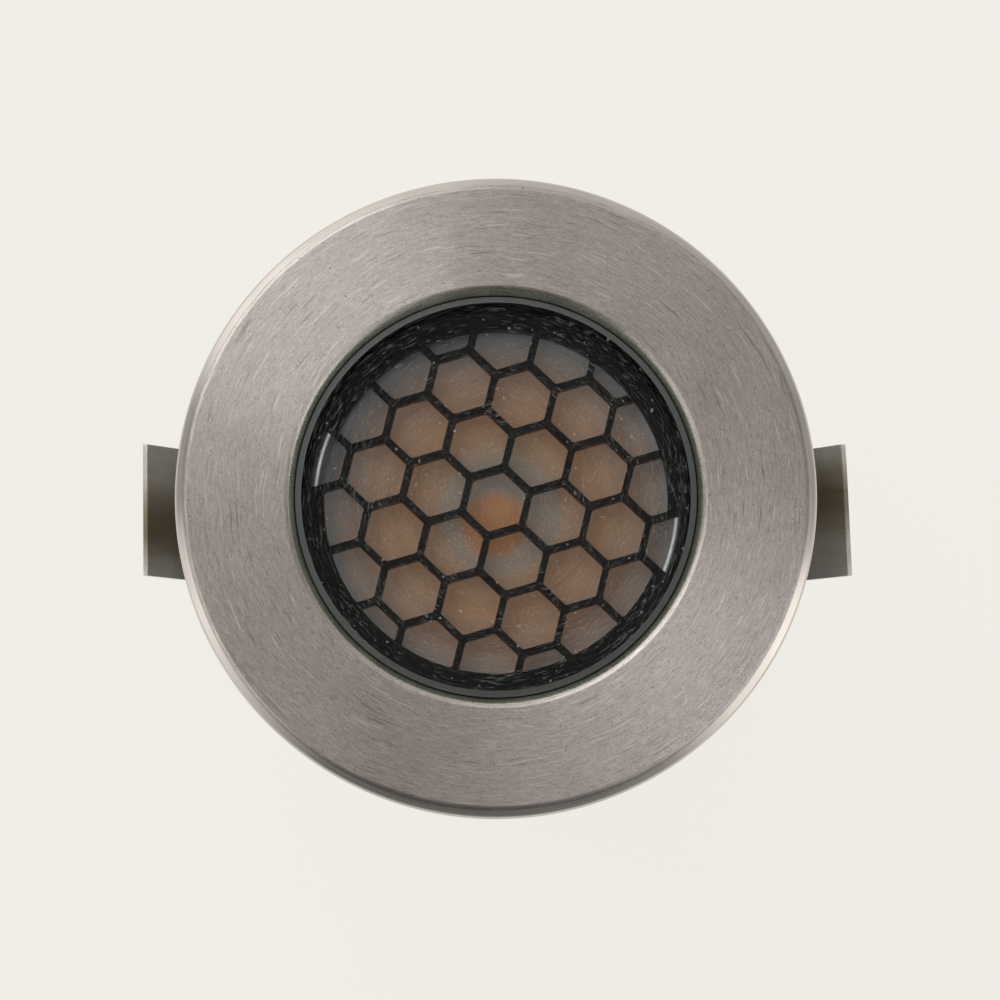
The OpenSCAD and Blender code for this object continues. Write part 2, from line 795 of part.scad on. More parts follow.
// Fixed part of the right-hand clip: flat foot with its screw hole, and the bend
module clip_foot() {
    difference() {
        translate([slot_x, clip_w / 2, bend_z])
            union() {
                translate([0, -clip_w, -foot_l]) cube([clip_t, clip_w, foot_l]);
                translate([clip_t + bend_r, 0, 0])
                    mirror([1, 0, 0])
                        rotate([90, 0, 0])
                            rotate_extrude(angle = leaf_angle)
                                translate([bend_r, 0]) square([clip_t, clip_w]);
            }
        translate([slot_x - cut, 0, clip_screw_z])
            rotate([0, 90, 0]) cylinder(r = clip_hole_r, h = clip_t + 2 * cut);
        for (side = [-1, 1])
            translate([slot_x - cut, side * clip_w / 2, foot_end_z])
                rotate([45, 0, 0])
                    translate([0, -foot_corner / sqrt(2), -foot_corner / sqrt(2)])
                        cube([clip_t + 2 * cut, foot_corner * sqrt(2), foot_corner * sqrt(2)]);
    }
}

// Free part of the right-hand clip, which swings on the round root at its lower end
module clip_leaf() {
    translate([pivot_x, 0, pivot_z])
        rotate([0, leaf_angle, 0])
            union() {
                translate([-clip_t / 2, -clip_w / 2, 0]) cube([clip_t, clip_w, leaf_l]);
                translate([0, clip_w / 2, 0])
                    rotate([90, 0, 0]) cylinder(r = knuckle_r, h = clip_w, $fn = 32);
            }
}

module left_clip_foot() {
    color(spring_steel) rotate([0, 0, 180]) clip_foot();
}

module left_clip_leaf() {
    color(spring_steel) rotate([0, 0, 180]) clip_leaf();
}

module right_clip_foot() {
    color(spring_steel) clip_foot();
}

module right_clip_leaf() {
    color(spring_steel) clip_leaf();
}

// Turns its children from pointing down to pointing into the housing, at both clip screws
module at_clip_screws(x) {
    for (side = [0, 180])
        rotate([0, 0, side])
            translate([x, 0, clip_screw_z])
                rotate([0, 90, 0]) children();
}

module clip_screws() {
    color(bare_aluminium)
        at_clip_screws(slot_x + clip_t + clip_washer_t)
            socket_screw(clip_screw_d, clip_head_r, clip_head_h, clip_screw_l);
}

module clip_washers() {
    color(bare_aluminium)
        at_clip_screws(slot_x + clip_t)
            ring(clip_washer_r, clip_screw_d / 2 + snug_gap, clip_washer_t, 0);
}

// Flat ring between the gland and the housing's bottom
module gland_washer() {
    color(black_rubber)
        ring(gland_af / 2 - 2 * hex_inset, gland_thread_r + snug_gap, z_bottom, z_gland_hex);
}

// Gland body: thread into the housing, hexagon and a neck with the seal's seat
module gland_body() {
    color([0.66, 0.64, 0.6])
        difference() {
            union() {
                bar(gland_thread_r, z_floor, z_gland_neck);
                hex_bar(gland_af, z_gland_hex, z_gland_neck);
                bar(gland_neck_r, z_gland_neck + gland_hex_t / 2, z_gland_end);
            }
            bar(gland_bore_r, z_floor + cut, z_gland_end - cut);
            bar(gland_seal_r + thread_gap, z_seal_top, z_gland_end - cut);
        }
}

// Rubber insert that closes on the cable
module gland_seal() {
    color(black_rubber)
        ring(gland_seal_r, cable_r, z_seal_top, z_seal_end);
}

// Nut with a hexagon and a turned end, which squeezes the insert
module gland_nut() {
    cone_h = 3;
    collar_h = 1;
    cone_w = 1.6;
    hex_h = nut_l - cone_h - collar_h;
    color([0.66, 0.64, 0.6])
        difference() {
            union() {
                hex_bar(nut_af, z_nut_top, z_nut_top - hex_h);
                bar(nut_r, z_nut_top - hex_h / 2, z_nut_end + cone_h);
                translate([0, 0, z_nut_end])
                    cylinder(r1 = nut_r - cone_w, r2 = nut_r, h = cone_h);
            }
            bar(gland_neck_r + thread_gap, z_nut_top + cut, z_gland_end - snug_gap);
            rotate_extrude()
                polygon([
                    [0, z_gland_end],
                    [gland_neck_r + thread_gap, z_gland_end],
                    [gland_neck_r + thread_gap, z_gland_end - snug_gap],
                    [gland_seal_r + thread_gap, z_nut_end + nut_mouth_t],
                    [0, z_nut_end + nut_mouth_t]
                ]);
            bar(gland_bore_r, z_nut_top, z_nut_end - cut);
        }
}

bezel();
flange_gasket();
glass_lens();
glass_seal();
neck_o_ring();
honeycomb_louvre();
tir_optic();
optic_holder();
led_phosphor();
led_base();
led_board();
board_screws();
thermal_pad();
heat_carrier();
carrier_screws();
led_wire_plus();
led_wire_minus();
driver_cup();
driver_board();
driver_inductor();
driver_capacitors();
driver_chips();
input_terminal();
housing();
left_clip_foot();
left_clip_leaf();
right_clip_foot();
right_clip_leaf();
clip_screws();
clip_washers();
gland_washer();
gland_body();
gland_seal();
gland_nut();
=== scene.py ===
"""Looks of a recessed in-ground light: brushed bezel, honeycomb louvre and two spring clips.

Sizes are in millimetres until they go into a mesh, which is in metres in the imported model's frame:
+Z out of the face, and the origin on the axis at the surface of the deck.
"""

import logging
import math
from dataclasses import dataclass
from enum import Enum
from functools import cache
from typing import Any, Sequence

import bmesh
import bpy
from mathutils import Matrix, Vector


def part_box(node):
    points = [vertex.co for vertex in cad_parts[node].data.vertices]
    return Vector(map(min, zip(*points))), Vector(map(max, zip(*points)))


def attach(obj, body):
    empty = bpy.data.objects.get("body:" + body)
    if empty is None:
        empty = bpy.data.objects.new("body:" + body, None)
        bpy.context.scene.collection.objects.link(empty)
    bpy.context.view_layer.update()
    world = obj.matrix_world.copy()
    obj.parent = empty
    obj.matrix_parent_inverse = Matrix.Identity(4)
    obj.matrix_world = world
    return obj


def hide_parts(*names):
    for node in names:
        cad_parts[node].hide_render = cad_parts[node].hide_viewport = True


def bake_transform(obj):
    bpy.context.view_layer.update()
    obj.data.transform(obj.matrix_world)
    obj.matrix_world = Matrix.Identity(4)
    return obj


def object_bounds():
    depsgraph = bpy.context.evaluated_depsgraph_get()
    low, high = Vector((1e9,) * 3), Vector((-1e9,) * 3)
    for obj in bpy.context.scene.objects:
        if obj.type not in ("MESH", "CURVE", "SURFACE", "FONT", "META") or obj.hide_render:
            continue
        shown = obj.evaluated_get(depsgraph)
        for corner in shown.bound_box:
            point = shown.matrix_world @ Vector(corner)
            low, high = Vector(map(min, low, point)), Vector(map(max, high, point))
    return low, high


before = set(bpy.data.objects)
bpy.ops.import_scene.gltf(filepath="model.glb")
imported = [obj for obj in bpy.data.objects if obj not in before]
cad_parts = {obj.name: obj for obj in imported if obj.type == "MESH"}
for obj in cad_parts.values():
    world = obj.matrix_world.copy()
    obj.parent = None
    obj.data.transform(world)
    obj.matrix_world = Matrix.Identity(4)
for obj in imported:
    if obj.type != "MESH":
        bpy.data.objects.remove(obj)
CAD_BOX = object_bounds()

log = logging.getLogger("in_ground_light")

MM = 0.001
FULL_TURN = 2 * math.pi
# Points closer than this are merged, in metres.
TINY = 1e-7
# The same for the outlines of the louvre's cells, and how near to a height an edge counts as at it.
NEAR = 2e-5
# Edges that turn by less than this are shaded as one surface.
SMOOTH_BELOW = math.radians(42)
# The UV map runs round the axis, and brushed lines climb a cone at this slope.
SWEEP_MAP = "sweep"
SWEEP_SLOPE = 0.7
# A brushed stroke has its given length at this radius, in millimetres.
BRUSHED_RADIUS = 25.0

Colour = tuple[float, float, float, float]
Stops = Sequence[tuple[float, Colour | str]]
Socket = bpy.types.NodeSocket
Mesh = bmesh.types.BMesh
Piece = bpy.types.Object
Value = Any


def linear(hex_colour: str, factor: float = 1.0) -> Colour:
    """Turns an sRGB hex colour to the linear values that shaders take.

    Args:
        hex_colour: Six hex digits after a hash sign.
        factor: How much lighter it gets.

    Returns:
        Linear red, green and blue, no more than 1, and an alpha of 1.
    """
    parts = [int(hex_colour[i : i + 2], 16) / 255 for i in (1, 3, 5)]
    parts = [p / 12.92 if p <= 0.04045 else ((p + 0.055) / 1.055) ** 2.4 for p in parts]
    red, green, blue = (min(1.0, p * factor) for p in parts)
    return red, green, blue, 1.0


def grey(level: float) -> Colour:
    """An even grey, by its linear brightness."""
    return level, level, level, 1.0


class Net:
    """A node tree, with a short call for each kind of node that the finishes share."""

    def __init__(self, tree: bpy.types.NodeTree, space: str = "Object") -> None:
        """Empties a tree and gives it its coordinates.

        Args:
            tree: Node tree of a material or of the world.
            space: Name of the coordinates to work in.
        """
        tree.nodes.clear()
        self.tree = tree
        self.place = self.node("TexCoord", give=space)

    def node(
        self, kind: str, inputs: dict[str | int, Value] | None = None, give: str | int = 0, **settings: Value
    ) -> Socket:
        """Adds one node with its settings and links.

        Args:
            kind: The node's type, without its ShaderNode prefix.
            inputs: Value or output socket for each input, by its name or place.
            give: Name or place of the output to return.
            **settings: Attributes of the node.

        Returns:
            The output socket, or the first input of a node that has no output.
        """
        node = self.tree.nodes.new("ShaderNode" + kind)
        for name, value in settings.items():
            setattr(node, name, value)
        for key, value in (inputs or {}).items():
            if isinstance(value, Socket):
                self.tree.links.new(value, node.inputs[key])
            else:
                node.inputs[key].default_value = value
        return node.outputs[give] if node.outputs else node.inputs[0]

    def math(self, operation: str, *values: Value) -> Socket:
        """Works on numbers."""
        return self.node("Math", dict(enumerate(values)), operation=operation)

    def vector(self, operation: str, *values: Value) -> Socket:
        """Works on vectors or colours."""
        give = "Value" if operation in ("LENGTH", "DOT_PRODUCT") else "Vector"
        return self.node("VectorMath", dict(enumerate(values)), give, operation=operation)

    def axis(self, letter: str) -> Socket:
        """One of the three coordinates."""
        return self.node("SeparateXYZ", {0: self.place}, letter)

    def noise(self, per_mm: float, detail: float) -> Socket:
        """Cloudy noise, with so many clouds to the millimetre."""
        return self.node("TexNoise", {"Vector": self.place, "Scale": per_mm / MM, "Detail": detail})

    def cells(self, size: float) -> Socket:
        """Distance to the nearest of scattered points, which are this far apart in millimetres."""
        return self.node("TexVoronoi", {"Vector": self.place, "Scale": 1 / (size * MM), "Randomness": 1.0})

    def level(
        self,
        value: Value,
        low: float,
        high: float,
        new_low: float = 0.0,
        new_high: float = 1.0,
        curve: str = "LINEAR",
    ) -> Socket:
        """Maps one span of numbers to another, and holds what lies outside it."""
        inputs = {0: value, 1: low, 2: high, 3: new_low, 4: new_high}
        return self.node("MapRange", inputs, interpolation_type=curve)

    def about(
        self, value: Value, middle: float, less: float = 0.8, more: float = 1.2, edge: float = 0.3
    ) -> Socket:
        """Lets a number sway about a middle, between two factors of it."""
        return self.level(value, edge, 1 - edge, middle * less, middle * more)

    def ramp(self, value: Value, stops: Stops) -> Socket:
        """Turns a number to a colour.

        Args:
            value: The number.
            stops: Numbers and their colours, in order.

        Returns:
            The colour.
        """
        colour = self.node("ValToRGB", {0: value})
        elements = colour.node.color_ramp.elements
        while len(elements) < len(stops):
            elements.new(1.0)
        for element, (place, shade) in zip(elements, stops):
            element.position = place
            element.color = linear(shade) if isinstance(shade, str) else shade
        return colour

    def shade(self, value: Value, colour: str, contrast: float, edge: float = 0.35) -> Socket:
        """Makes a colour darker and lighter with a number."""
        ends = (edge, linear(colour, 1 - contrast)), (1 - edge, linear(colour, 1 + contrast))
        return self.ramp(value, ends)

    def blend(self, share: Value, first: Value, second: Value) -> Socket:
        """Mixes two colours."""
        return self.node("Mix", {0: share, 6: first, 7: second}, 2, data_type="RGBA")

    def bump(self, height: Socket, depth: float) -> Socket:
        """Tilts the surface by a height that is this deep in millimetres."""
        return self.node("Bump", {"Height": height, "Distance": depth * MM, "Strength": 1.0})

    def arcs(self, spacing: float, stroke: float, wander: float, detail: float = 2.5) -> Socket:
        """Noise drawn out round the Z axis into short arcs.

        Args:
            spacing: Distance between lines, in millimetres.
            stroke: Length of a line at the bezel's middle radius, in millimetres.
            wander: How far a line strays from its circle, in millimetres.
            detail: Finer noise within it. With little, the lines are long and even.

        Returns:
            The noise, from 0 to 1.
        """
        flat = self.vector("MULTIPLY", self.place, (1, 1, 0))
        across = self.math("MULTIPLY_ADD", self.axis("Z"), -SWEEP_SLOPE, self.vector("LENGTH", flat))
        drift = self.math("MULTIPLY_ADD", self.noise(0.22, 1.0), wander * MM, across)
        rank = self.math("MULTIPLY", drift, 1 / (spacing * MM))
        turns = BRUSHED_RADIUS / stroke
        arc = self.vector("MULTIPLY", self.vector("NORMALIZE", flat), (turns, turns, 0))
        spot = self.vector("ADD", arc, self.node("CombineXYZ", {"Z": rank}))
        return self.node("TexNoise", {"Vector": spot, "Scale": 1.0, "Detail": detail, "Roughness": 0.62})


@dataclass(frozen=True)
class Finish:
    """A real material and how its surface was made. Each kind writes its own shader."""

    name: str

    @cache
    def material(self) -> bpy.types.Material:
        """Returns the Blender material, which is built the first time it is asked for."""
        made = bpy.data.materials.new(self.name)
        made.use_nodes = True
        net = Net(made.node_tree)
        net.node("OutputMaterial", {"Surface": self.shader(net)})
        return made

    def shader(self, net: Net) -> Socket:
        """Writes the shader. Each kind of finish has its own.

        Args:
            net: The material's nodes.

        Returns:
            The shader's output socket.
        """
        raise NotImplementedError


@dataclass(frozen=True)
class TurnedMetal(Finish):
    """Metal with fine lines round the Z axis, left by a lathe tool or by abrasive held to the spinning part.

    The eye gets a bow-tie highlight from it, because light spreads across the lines.
    """

    colour: str
    roughness: float
    line: float
    stroke: float
    wander: float
    anisotropy: float
    depth: float
    contrast: float
    scratches: float = 0.0
    grit: float = 0.0
    metallic: float = 1.0
    scratch_line: float = 0.2
    scratch_length: float = 4.0
    scratch_tones: tuple[float, float] = (1.4, 0.55)
    lit_span: tuple[float, float] = (0.66, 0.74)
    cut_span: tuple[float, float] = (0.33, 0.25)
    pit_span: tuple[float, float] = (0.77, 0.84)

    def shader(self, net: Net) -> Socket:
        """Writes the metal: lines in colour, roughness and height, cloudy wear and stray scratches."""
        grain = net.arcs(self.line, self.stroke, self.wander)
        if self.grit:
            fine = net.noise(1 / (1.1 * self.line), 1.0)
            grain = net.node("Mix", {0: self.grit, 2: grain, 3: fine})
        wear = net.level(net.noise(0.14, 3.0), 0.3, 0.7, 0.93, 1.05)
        tone = net.vector("MULTIPLY", net.shade(grain, self.colour, self.contrast, 0.3), wear)
        height = grain
        if self.scratches:
            stray = net.arcs(self.scratch_line, self.scratch_length, 0.8, 0.6)
            lit = net.level(stray, *self.lit_span, 0.0, self.scratches)
            cut = net.level(stray, *self.cut_span, 0.0, self.scratches)
            pit = net.level(net.noise(3.4, 0.0), *self.pit_span, 0.0, self.scratches)
            cut = net.math("MAXIMUM", cut, pit)
            bright, deep = (linear(self.colour, factor) for factor in self.scratch_tones)
            tone = net.blend(cut, net.blend(lit, tone, bright), deep)
            height = net.math("MULTIPLY_ADD", cut, -0.8, grain)
        inputs = {
            "Base Color": tone,
            "Metallic": self.metallic,
            "Roughness": net.about(grain, self.roughness, 0.85, 1.15, 0.25),
            "Anisotropic": self.anisotropy,
            "Anisotropic Rotation": 0.25,
            "Tangent": net.node("Tangent", direction_type="UV_MAP", uv_map=SWEEP_MAP),
            "Normal": net.bump(height, self.depth),
        }
        return net.node("BsdfPrincipled", inputs)


@dataclass(frozen=True)
class GrainyMetal(Finish):
    """Metal with an even, directionless grain, as blasting, tumbling or plating leaves it."""

    colour: str
    roughness: float
    grain: float
    depth: float = 0.01
    contrast: float = 0.2

    def shader(self, net: Net) -> Socket:
        """Writes the metal: grain in colour, roughness and height over a slow cloudiness."""
        grit = net.noise(1 / self.grain, 2.0)
        mixed = net.node("Mix", {0: 0.3, 2: grit, 3: net.noise(0.3, 2.0)})
        inputs = {
            "Base Color": net.shade(mixed, self.colour, self.contrast),
            "Metallic": 1.0,
            "Roughness": net.about(mixed, self.roughness),
            "Normal": net.bump(grit, self.depth),
        }
        return net.node("BsdfPrincipled", inputs)


@dataclass(frozen=True)
class RolledStrip(Finish):
    """Cold-rolled and tempered spring strip: faint lines from the rolls, and rub marks from handling.

    Its colour has painted shade across it: its middle is painted browner and darker than its edges, and one
    edge brighter than the other.
    """

    colour: str
    roughness: float
    line: float = 0.12
    contrast: float = 0.1
    metallic: float = 0.3
    half_width: float = 6.35
    # Painted shade across the strip's width, from one edge to the other: dark brown in the middle, white at
    # the edges.
    painted_shade: Stops = (
        (0.1, "#FFFFFF"),
        (0.3, "#F3F0EA"),
        (0.44, "#C6BEB0"),
        (0.56, "#A79B89"),
        (0.68, "#A09481"),
        (0.79, "#BFB6A6"),
        (0.9, "#ECE8E0"),
        (1.0, "#FFFFFF"),
    )

    def shader(self, net: Net) -> Socket:
        """Writes the strip: lines across Y that run up the strip, and soft cloudy marks."""
        fine = 1 / (self.line * MM)
        along = net.vector("MULTIPLY", net.place, (fine * 0.02, fine, fine * 0.02))
        roll = net.node("TexNoise", {"Vector": along, "Scale": 1.0, "Detail": 2.0})
        cloud = net.noise(0.35, 4.0)
        mixed = net.node("Mix", {0: 0.45, 2: roll, 3: cloud})
        # Where the painted shade falls: across the strip's width, with a cloudy wobble.
        across = net.math("MULTIPLY", net.axis("Y"), net.math("SIGN", net.axis("X")))
        across = net.math("MULTIPLY_ADD", cloud, 1.6 * MM, across)
        across = net.level(across, -self.half_width * MM, (self.half_width + 0.8) * MM)
        tone = net.shade(mixed, self.colour, self.contrast)
        inputs = {
            "Base Color": net.vector("MULTIPLY", tone, net.ramp(across, self.painted_shade)),
            "Metallic": self.metallic,
            "Roughness": net.about(cloud, self.roughness, 0.8, 1.25),
            "Normal": net.bump(roll, 0.003),
        }
        return net.node("BsdfPrincipled", inputs)


@dataclass(frozen=True)
class Moulded(Finish):
    """Plastic, rubber, ceramic or coated board: a body colour with a fine moulded or cured texture."""

    colour: str
    roughness: float
    grain: float = 0.15
    depth: float = 0.006
    contrast: float = 0.1
    soft: float = 0.0
    gloss: float = 0.5

    def shader(self, net: Net) -> Socket:
        """Writes the surface: texture in height and roughness, and slight colour variation."""
        grit = net.noise(1 / self.grain, 2.0)
        inputs = {
            "Base Color": net.shade(net.noise(0.25, 3.0), self.colour, self.contrast),
            "Roughness": net.about(grit, self.roughness, 0.85, 1.15),
            "Normal": net.bump(grit, self.depth),
            "Subsurface Weight": self.soft,
            "Subsurface Radius": (1.0, 0.8, 0.6),
            "Subsurface Scale": 1.5 * MM,
            "Specular IOR Level": self.gloss,
        }
        return net.node("BsdfPrincipled", inputs)


@dataclass(frozen=True)
class Foam(Finish):
    """Closed-cell rubber foam, cut from sheet: matt, with small open pores on its cut faces."""

    colour: str
    pore: float = 0.35

    def shader(self, net: Net) -> Socket:
        """Writes the foam: round pores in height and colour."""
        cells = net.cells(self.pore)
        # Painted shade: the pores are painted darker than the foam around them.
        tone = net.ramp(cells, [(0.05, linear(self.colour, 0.5)), (0.45, linear(self.colour, 1.2))])
        inputs = {"Base Color": tone, "Roughness": 0.92, "Normal": net.bump(cells, 0.06)}
        return net.node("BsdfPrincipled", inputs)


@dataclass(frozen=True)
class ToughenedGlass(Finish):
    """Toughened soda-lime glass after some use: clear, with fine curved scratches and specks of dust.

    Its anti-reflective coat mirrors little, so the louvre stays black under it. Its index is low for that.
    """

    scratch_line: float = 0.14
    scratch_length: float = 1.5
    scratch_veil: float = 0.6
    scratch: str = "#7E7E7C"
    speck: float = 0.8
    speck_veil: float = 0.6
    dust: str = "#D8D8D2"
    mark_span: tuple[float, float] = (0.585, 0.66)
    patch_span: tuple[float, float] = (0.38, 0.58)
    dust_span: tuple[float, float] = (0.42, 0.7)

    def shader(self, net: Net) -> Socket:
        """Writes the glass, which lets lamps through, with the scratches and dust as a thin veil."""
        marks = net.arcs(self.scratch_line, self.scratch_length, 0.5)
        marks = net.level(marks, *self.mark_span, 0.0, self.scratch_veil)
        patches = net.level(net.noise(0.2, 2.0), *self.patch_span, 0.15, 1.0)
        marks = net.math("MULTIPLY", marks, patches)
        size = net.level(net.noise(1.3, 1.0), *self.dust_span, 0.0, 0.2)
        dust = net.math("SUBTRACT", size, net.cells(self.speck))
        dust = net.level(dust, 0.0, 0.06, 0.0, self.speck_veil)
        tone = net.blend(dust, linear(self.scratch), linear(self.dust))
        inputs = {
            "Base Color": linear("#FBFBF9"),
            "Roughness": 0.0,
            "IOR": 1.2,
            "Specular IOR Level": 0.3,
            "Transmission Weight": 1.0,
        }
        clear = net.node("BsdfPrincipled", inputs)
        dusty = net.node("BsdfDiffuse", {"Color": tone, "Roughness": 0.6})
        marked = net.node("MixShader", {0: net.math("MAXIMUM", marks, dust), 1: clear, 2: dusty})
        lamp = net.node("LightPath", give="Is Shadow Ray")
        open_way = net.node("BsdfTransparent", {"Color": linear("#F6F7F5")})
        return net.node("MixShader", {0: lamp, 1: marked, 2: open_way})


@dataclass(frozen=True)
class GroundGlass(Finish):
    """Edge of the glass as the wheel left it: grey-green and matt."""

    colour: str
    roughness: float
    grain: float = 0.12

    def shader(self, net: Net) -> Socket:
        """Writes the ground surface with its wheel marks."""
        grit = net.noise(1 / self.grain, 3.0)
        inputs = {
            "Base Color": net.shade(grit, self.colour, 0.2),
            "Roughness": net.about(grit, self.roughness),
            "Normal": net.bump(grit, 0.01),
            "IOR": 1.52,
        }
        return net.node("BsdfPrincipled", inputs)


@dataclass(frozen=True)
class FrostedOptic(Finish):
    """Moulded acrylic collimator with a satin top. The LED's yellow phosphor tints it in rings.

    Those rings, and the disc, are a painted image of the LED, as its outer wall and its inner lens would show
    it, a little off its axis.
    It also has painted glow: it emits a little of its painted colour, and more on a pale painted highlight
    ring near its rim.
    """

    rings: tuple[tuple[float, str], ...]
    outer: float
    image_at: tuple[float, float] = (0.4, -1.0)
    disc_at: tuple[float, float] = (-0.2, -2.1)
    disc_fade: tuple[float, float] = (4.1, 2.9)
    disc: str = "#BF8350"
    waver: float = 0.8
    # Painted highlight: a pale ring near the rim, for the lamp's highlight on the rounded flange edge; then
    # the painted glow of the top and of that ring.
    highlight_r: float = 17.14
    highlight_fade: tuple[float, float] = (0.22, 0.05)
    edge: str = "#E4E6E6"
    painted_glow: float = 0.2
    painted_highlight_glow: float = 0.5

    def shader(self, net: Net) -> Socket:
        # The tint is a painted image of the LED, with a painted highlight and painted glow on top.
        """Writes the tint by distance from the axis, softly clouded, under a satin surface."""
        cloud = net.noise(0.25, 2.0)
        distances = []
        for x, y in (self.image_at, self.disc_at):
            shift = {"Vector": net.place, "Location": (-x * MM, -y * MM, 0), "Scale": (1, 1, 0)}
            away = net.vector("LENGTH", net.node("Mapping", shift))
            distances.append(net.math("MULTIPLY_ADD", cloud, self.waver * MM, away))
        radius, disc = distances
        share = net.level(radius, self.waver / 2 * MM, (self.outer + self.waver / 2) * MM)
        tint = net.ramp(share, [(r / self.outer, tone) for r, tone in self.rings])
        disc = net.level(disc, *(r * MM for r in self.disc_fade))
        tint = net.blend(disc, tint, linear(self.disc))
        waves = {"Vector": net.place, "Scale": 0.16 / MM, "Distortion": 1.5, "Detail": 2.0}
        fine = net.node("TexWave", waves, wave_type="RINGS", rings_direction="Z")
        tint = net.vector("MULTIPLY", tint, net.level(fine, 0.0, 1.0, 0.95, 1.04))
        # Painted highlight ring near the rim.
        edge = net.vector("LENGTH", net.vector("MULTIPLY", net.place, (1, 1, 0)))
        edge = net.math("ABSOLUTE", net.math("SUBTRACT", edge, self.highlight_r * MM))
        edge = net.level(edge, *(r * MM for r in self.highlight_fade))
        tint = net.blend(edge, tint, linear(self.edge))
        # Painted glow: the top emits its painted colour, most on the highlight ring, and its own colour is
        # halved to make room.
        glow = net.math("MULTIPLY_ADD", net.math("MULTIPLY", edge, cloud), self.painted_highlight_glow, self.painted_glow)
        inputs = {
            "Base Color": net.vector("MULTIPLY", tint, (0.5, 0.5, 0.5)),
            "Roughness": 0.42,
            "IOR": 1.49,
            "Normal": net.bump(net.noise(7.0, 2.0), 0.004),
            "Subsurface Weight": 0.25,
            "Subsurface Radius": (1.0, 0.7, 0.45),
            "Subsurface Scale": 1.2 * MM,
            "Emission Color": tint,
            "Emission Strength": glow,
        }
        return net.node("BsdfPrincipled", inputs)


# Stainless steel, AISI 304, brushed with abrasive as it spins: short grey arcs and a bow-tie glow.
BRUSHED_STEEL = TurnedMetal(
    "brushed_stainless_steel",
    "#BFB6B0",
    roughness=0.38,
    line=0.1,
    stroke=0.9,
    wander=0.2,
    anisotropy=0.7,
    depth=0.008,
    contrast=0.32,
    scratches=0.7,
    grit=0.42,
)
# The same steel as the lathe tool left it on the chamfer: smoother, with closer lines.
TURNED_STEEL = TurnedMetal("turned_stainless_steel", "#C6C0BC", 0.25, 0.12, 9.0, 0.1, 0.4, 0.003, 0.14)
# The skirt, turned at a coarser feed: longer lines.
SKIRT_STEEL = TurnedMetal("skirt_stainless_steel", "#B4ADA5", 0.3, 0.18, 18.0, 0.05, 0.55, 0.005, 0.1)
# The countersunk lip, blasted grey and never polished: it sparkles in grains.
BLASTED_STEEL = GrainyMetal("blasted_stainless_steel", "#CFCCBE", 0.35, grain=0.16, depth=0.022, contrast=0.3)
# Aluminium 6061, turned and then black anodised: satin black with the tool's lines still there.
BLACK_ANODISED = TurnedMetal(
    "black_anodised_aluminium", "#1B1B1E", 0.42, 0.22, 30.0, 0.03, 0.4, 0.006, 0.3, 0.15, 0.0, 0.55
)
# Aluminium as machined, inside the light: pale and even.
BARE_ALUMINIUM = GrainyMetal("machined_aluminium", "#C3C6CA", 0.38, 0.3)
# Stainless spring strip, AISI 301, as it left the rolls: olive grey, with a brown middle that is painted
# shade.
SPRING_STRIP = RolledStrip("rolled_spring_strip", "#F1EEE6", 0.4)
# Nickel-plated brass of the cable gland: smooth, warm grey.
NICKEL_BRASS = GrainyMetal("nickel_plated_brass", "#A39D93", 0.24, grain=0.5, depth=0.001, contrast=0.04)
# Stainless screws, cold headed and tumbled: soft bright edges.
SCREW_STEEL = GrainyMetal("tumbled_screw_steel", "#BDBBB8", 0.28, grain=0.2, depth=0.004, contrast=0.08)
# Float glass, toughened and coated: black below, with light ticks of scratches.
CLEAR_GLASS = ToughenedGlass("toughened_glass")
# Its arris, ground with a wheel: a dull grey-green ring.
GLASS_EDGE = GroundGlass("ground_glass_edge", "#5C605D", 0.5)
# Acrylic from a polished mould, with a satin top: a painted image of the LED in brown and grey rings, grey
# towards its edge, with painted glow.
SATIN_OPTIC = FrostedOptic(
    "satin_acrylic_optic",
    (
        (0.0, "#A0948A"),
        (5.2, "#A39281"),
        (6.4, "#B08D70"),
        (9.0, "#B58A66"),
        (12.5, "#AE8C73"),
        (14.6, "#A59082"),
        (15.8, "#928883"),
        (16.7, "#85888B"),
        (17.2, "#5E6063"),
    ),
    17.5,
)
# Black ABS from a spark-eroded mould: a soft, fine texture.
BLACK_ABS = Moulded("moulded_black_abs", "#060606", 0.5, 0.25, 0.004, 0.2, 0.0, 0.12)
# Silicone rubber, moulded: satin black.
BLACK_SILICONE = Moulded("moulded_silicone", "#1B1C1C", 0.55, 0.3, 0.008, 0.15)
# EPDM foam, die cut from sheet: matt black with pores.
EPDM_FOAM = Foam("epdm_foam", "#232324")

